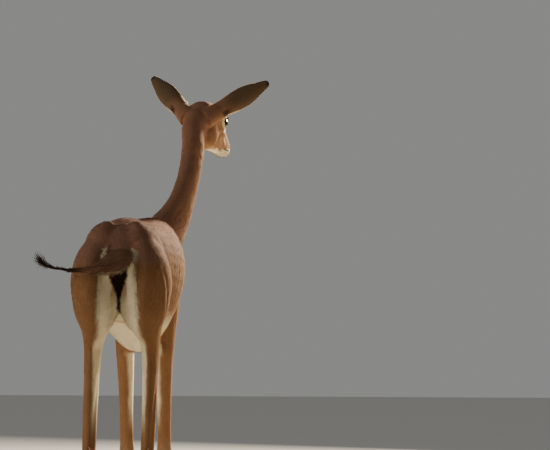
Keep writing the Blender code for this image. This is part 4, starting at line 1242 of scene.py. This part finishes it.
def horn_material():
    """Dark horn with rings of growth and fine fibres."""
    horn = Shading("hoof")
    position = horn.node("TexCoord")["Object"]
    bands = {"wave_type": "BANDS", "bands_direction": "Z"}
    rings = {"Scale": 70.0, "Distortion": 3.5, "Detail": 2.0, "Detail_Scale": 1.5}
    wave = horn.node("TexWave", bands, Vector=position, **rings)
    along = horn.node("Mapping", Vector=position, Scale=(900.0, 900.0, 60.0))[0]
    base = horn.mixed(horn.noise(position, 160.0, 4.0), colour(40, 35, 31), colour(74, 64, 54))
    base = horn.mixed(horn.maths("MULTIPLY", wave["Fac"], 0.35), base, colour(28, 24, 22))
    relief = horn.maths("ADD", wave["Fac"], horn.maths("MULTIPLY", horn.noise(along, 1.0, 3.0), 0.8))
    bump = horn.node("Bump", Strength=0.22, Distance=0.0003, Height=relief)
    horn.put(horn.shader, Base_Color=base, Normal=bump[0], Roughness=0.38)
    return horn.material


# Eyes and hooves


def build_eye(side, material):
    word = "left" if side > 0 else "right"
    centre, axes = eye_frame(side)
    bm = bmesh.new()
    bmesh.ops.create_uvsphere(bm, u_segments=48, v_segments=32, radius=1.0)
    gaze = np.array([vert.co for vert in bm.verts])
    for vert in bm.verts:
        dome = max(0.0, (vert.co.z - 0.72) / 0.28)
        vert.co = centre + axes @ (vert.co * (EYE_RADIUS * (0.985 + 0.045 * dome**0.8)))
    bmesh.ops.recalc_face_normals(bm, faces=bm.faces)
    mesh = mesh_from(bm, f"eye_{word}_ball")
    set_attribute(mesh, "gaze", "FLOAT_VECTOR", gaze)
    mesh.shade_smooth()
    mesh.materials.append(material)
    made = new_object(f"eyeball_{word}", mesh)
    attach(made, "root")
    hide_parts(f"eye_{word}")


def build_hooves(material):
    """Each half-hoof from its solid, in finer mesh with its edges worn round."""
    for name in [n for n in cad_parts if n.startswith("hoof")]:
        surface = Surface(voxelled(new_object("horn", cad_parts[name].data.copy()), HOOF_VOXEL))
        surface.smooth(9, np.ones(len(surface.points)))
        points = surface.points
        low, high = (np.array(corner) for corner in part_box(name))
        # narrower towards the coronet, so that the coat's edge hangs over it
        rise = np.clip((points[:, 2] - low[2]) / (high[2] - low[2]), 0, 1) ** 1.5
        for k, narrowed in enumerate((0.2, 0.16)):
            points[:, k] += ((low[k] + high[k]) / 2 - points[:, k]) * narrowed * rise
        # the top reaches into the foot, under the coat's edge
        points[:, 2] += HOOF_REACH * np.clip(rise * 5 - 4, 0, 1)
        np.clip(points, low, high + np.array((0, 0, HOOF_REACH)), out=points)
        surface.write()
        surface.mesh.shade_smooth()
        surface.mesh.materials.clear()
        surface.mesh.materials.append(material)
        made = new_object(f"{name}_horn", surface.mesh)
        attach(made, "root")
        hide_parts(name)


# Short and long hair


def short_coat(skin, coat):
    """The flat coat over the whole animal."""
    there = skin.triangles
    torso, neck, head, ears, hind, fore, tail = (
        there.share(kind) > 0 for kind in ("torso", "neck", "head", "ear", "hind", "fore", "tail")
    )
    high = there.points[:, 2] > SHANK_TOP
    along, _ = nearest_on_path(there.points, TAIL_PATH)
    for seed, row in enumerate(
        (
            ("trunk", torso, 0.8, MEDIUM, 0.076),
            ("neck", neck, 0.95, MEDIUM, 0.08),
            ("thighs", hind & high, 0.8, MEDIUM, 0.078),
            ("arms", fore & high, 0.8, MEDIUM, 0.078),
            ("shanks", (hind | fore) & ~high, 0.5, SHORT, 0.115),
            ("head", head, 0.52, SHORT, 0.11),
            ("ears", ears, 0.5, SHORT, 0.12),
            ("tail", tail & (along < 0.62), 1.6, MEDIUM, 0.08),
        ),
        start=11,
    ):
        sow_coat(skin, coat, seed, *row)


def tail_hair(skin, coat):
    """The tail's end and brush, and the fringe and shag along it."""
    there = skin.triangles
    tail = there.share("tail") > 0
    down = there.facing(0, 0, -1)
    along, _ = nearest_on_path(there.points, TAIL_PATH)
    at_points, _ = nearest_on_path(skin.points, TAIL_PATH)
    share = np.clip(at_points / 0.5, 0, 1)[:, None]
    tuft = sow_coat(
        skin, coat, 31, "tail_end", tail & (along > 0.54), 7.0, LONG, 0.046,
        length=curve(at_points, TUFT_LENGTH), lift=(0.03, 0.1), marks=(0.6, 0, 0.92, 0), stray=0.1,
        droop=(0, 0, 0.16),
    )
    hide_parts("tail_tuft")
    sow_coat(
        skin, coat, 40, "tail_brush", tail & (along > 0.77), 18.0, LONG, 0.05,
        length=0.025, lift=(0.1, 0.46), marks=(0.6, 0, 0.92, 0), stray=0.12, droop=(0, 0, 0.22),
    )
    sow_coat(
        skin, coat, 32, "tail_fringe", tail & (down > 0.35) & (along < 0.4), 1.2, LONG, 0.05,
        length=0.0125, lift=(0.35, 0.8), lie=place(-0.2, 1.0, -0.5),
        marks=np.array([0.3, 0.8, 0.0, 0]) * (1 - share) + np.array([0.8, 0.12, 0.5, 0]) * share,
    )
    sow_coat(
        skin, coat, 39, "tail_shag", tail & (down > -0.5) & (along < 0.42), 0.7, LONG, 0.045,
        length=0.021, lift=(0.04, 0.22), lie=place(-0.1, 1.0, -0.32),
        marks=np.array([1.0, 0.0, 0.25, 0]) * (1 - share) + np.array([0.8, 0.0, 0.8, 0]) * share,
    )


def body_hair(skin, coat):
    """The knees' brushes, and the fringe where the coat meets the pale rump."""
    there = skin.triangles
    height = there.height
    brush = (there.share("fore") > 0) & (there.facing(1, 0, 0) > 0.35)
    brush &= np.abs(height - BRUSH_HEIGHT) < 0.026
    sow_coat(
        skin, coat, 33, "knee_brush", brush, 2.6, LONG, 0.05,
        length=0.0175, lift=(0.06, 0.26), marks=(0.9, 0, 0.55, 0),
    )
    edge = np.abs(there.aside - curve(height, RUMP_RIM) + 0.002) < 0.0045
    edge &= (there.facing(-1, 0, 0) > 0.2) & (there.ahead < 0.12)
    edge &= (height > 0.735) & (height < 0.893) & (there.share("tail") == 0)
    sideways = np.tile(np.array(place(-0.1, 0.0, -1.0)), (len(skin.points), 1))
    sideways[:, 0] = 0.55 * np.sign(skin.points[:, 0] - SHIFT.x)
    sow_coat(
        skin, coat, 34, "rump_fringe", edge, 1.0, LONG, 0.06,
        length=0.013, lift=(0.1, 0.35), lie=sideways, marks=(0, 0.95, 0, 0),
    )


def head_hair(skin, coat):
    """The chin's hair, whiskers and lashes."""
    there = skin.triangles
    head = there.share("head") > 0
    a, _, u = there.on_head
    line = curve(a, MOUTH_LINE)
    down = there.normals @ -np.array(HEAD_AXES.col[2])
    back = HEAD_AXES @ Vector((-1.0, 0.0, -0.3))
    sow_coat(
        skin, coat, 35, "chin", head & (a > 0.18) & (u < line - 0.003) & (down > 0.2), 0.55, LONG, 0.04,
        length=0.0062, lift=(0.15, 0.55), lie=back, marks=(0, 0.95, 0, 0), stray=0.35,
    )
    lip = head & (a > 0.196) & (a < 0.226) & (u > line + 0.001) & (u < line + 0.01)
    sow_coat(
        skin, coat, 36, "whiskers", lip, 0.16, LONG, 0.014,
        length=0.017, lift=(0.45, 0.8), lie=back, marks=(0, 0.5, 0.3, 0), stray=0.4,
    )
    lid = np.zeros(len(a), bool)
    upward = np.zeros(skin.points.shape)
    for side in (1, -1):
        x, y, z, _ = there.on_eye(side)
        q = np.hypot(x / LID_LENGTH, y / LID_HEIGHT)
        lid |= head & (q > 1.02) & (q < 1.16) & (y > 0.003) & (z > 0.004) & (q * z < 0.05)
        centre, axes = eye_frame(side)
        near = np.linalg.norm(skin.points - np.array(centre), axis=1) < 0.03
        upward[near] = np.array(axes @ Vector((0.25, 0.8, 0.6)))
    sow_coat(
        skin, coat, 37, "lashes", lid, 1.5, LONG, 0.05,
        length=0.0068, lift=(0.55, 0.9), lie=upward, marks=(0, 0, 1, 0), droop=(0, 0, -0.25),
    )


def ear_hair(skin, coat):
    """The white hair inside the ears."""
    there = skin.triangles
    inside = np.zeros(len(there.points), bool)
    inward = np.zeros(skin.points.shape)
    for word in EARS:
        x, _, z, face = there.on_ear(word)
        share = z / EAR_LENGTH
        own = (there.share(f"ear_{word}") > 0) & (face > 0.25)
        inside |= own & (np.abs(x) > 0.006) & (share > 0.14) & (share < 0.74)
        root, axes = ear_frame(word)
        x, y, z = into(skin.points, root, axes).T
        near = np.linalg.norm(skin.points - np.array(root), axis=1) < 0.19
        near &= (x * x + y * y < 0.05**2) & (z > -0.01)
        across, _, along = np.array(axes).T
        inward[near] = along - across * (0.55 * np.sign(x[near]))[:, None]
    sow_coat(
        skin, coat, 38, "ear_hair", inside, 0.42, LONG, 0.045,
        length=0.0115, lift=(0.12, 0.42), lie=inward, marks=(0, 0.92, 0, 0),
    )


def build_animal():
    hair, hide = coat_material("coat_hair", True), coat_material("coat_skin", False)
    skin = Skin(*build_skin())
    mesh = skin.mesh
    set_attribute(mesh, "marks", "FLOAT_COLOR", skin.marks)
    set_attribute(mesh, "zones", "FLOAT_COLOR", skin.zones)
    mesh.shade_smooth()
    mesh.materials.clear()
    mesh.materials.append(hide)
    hide_piece = new_object("skin", mesh)
    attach(hide_piece, "root")
    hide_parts(*FLESH)
    glass = eye_material()
    for side in (1, -1):
        build_eye(side, glass)
    build_hooves(horn_material())
    for grow in (short_coat, tail_hair, body_hair, head_hair, ear_hair):
        grow(skin, hair)


# The room


def room():
    bpy.ops.mesh.primitive_plane_add(size=14.0, location=(0, 0, 0))
    floor = bpy.context.object
    floor.name = "floor"
    paint = Shading("floor")
    paint.put(paint.shader, Base_Color=(0.6, 0.59, 0.57), Roughness=0.85)
    floor.data.materials.append(paint.material)
    world = bpy.data.worlds.new("room")
    bpy.context.scene.world = world
    world.use_nodes = True
    light, strength = world.node_tree.nodes["Background"].inputs[:2]
    light.default_value = (0.86, 0.86, 0.84, 1)
    strength.default_value = 0.3
    for name, at, size, power, tint in (
        ("key", (-1.4, -4.0, 1.9), 0.8, 1450.0, (1.0, 0.86, 0.66)),
        ("fill", (3.4, 2.0, 1.9), 2.2, 80.0, (1.0, 0.96, 0.9)),
        ("front", (1.6, -3.4, 1.6), 2.0, 45.0, (1.0, 0.98, 0.95)),
    ):
        data = bpy.data.lights.new(name, "AREA")
        data.shape, data.size, data.energy, data.color = "DISK", size, power, tint
        lamp = new_object(name, data)
        lamp.location = at
        lamp.rotation_mode = "QUATERNION"
        lamp.rotation_quaternion = (Vector(at) - LIT_PLACE).to_track_quat("Z", "Y")


def camera():
    """The photograph's view: from behind, a little to the animal's right and from a little above."""
    azimuth, elevation = math.radians(CAMERA_AZIMUTH), math.radians(CAMERA_ELEVATION)
    level = math.cos(elevation)
    back = Vector((math.sin(azimuth) * level, -math.cos(azimuth) * level, math.sin(elevation)))
    turn = back.to_track_quat("Z", "Y")
    right, up = turn @ Vector((1, 0, 0)), turn @ Vector((0, 1, 0))
    # the cleft and the top of the croup lie at these pixels
    (cleft_x, croup_y), (middle_x, middle_y) = PHOTO_MARK, (PHOTO_WIDTH / 2, PHOTO_HEIGHT / 2)
    across = spot(0, 0, 0.8).dot(right) + (middle_x - cleft_x) / PIXELS_PER_METRE
    high = spot(0.18, 0, 0.957).dot(up) - (middle_y - croup_y) / PIXELS_PER_METRE
    aim = right * across + up * high + back * spot(0, 0, 0.8).dot(back)
    data = bpy.data.cameras.new("camera")
    data.sensor_width = 36
    data.lens = 36 * CAMERA_DISTANCE * PIXELS_PER_METRE / PHOTO_WIDTH
    made = new_object("camera", data)
    made.location = aim + back * CAMERA_DISTANCE
    made.rotation_mode = "QUATERNION"
    made.rotation_quaternion = turn
    bpy.context.scene.camera = made


build_animal()
room()
camera()
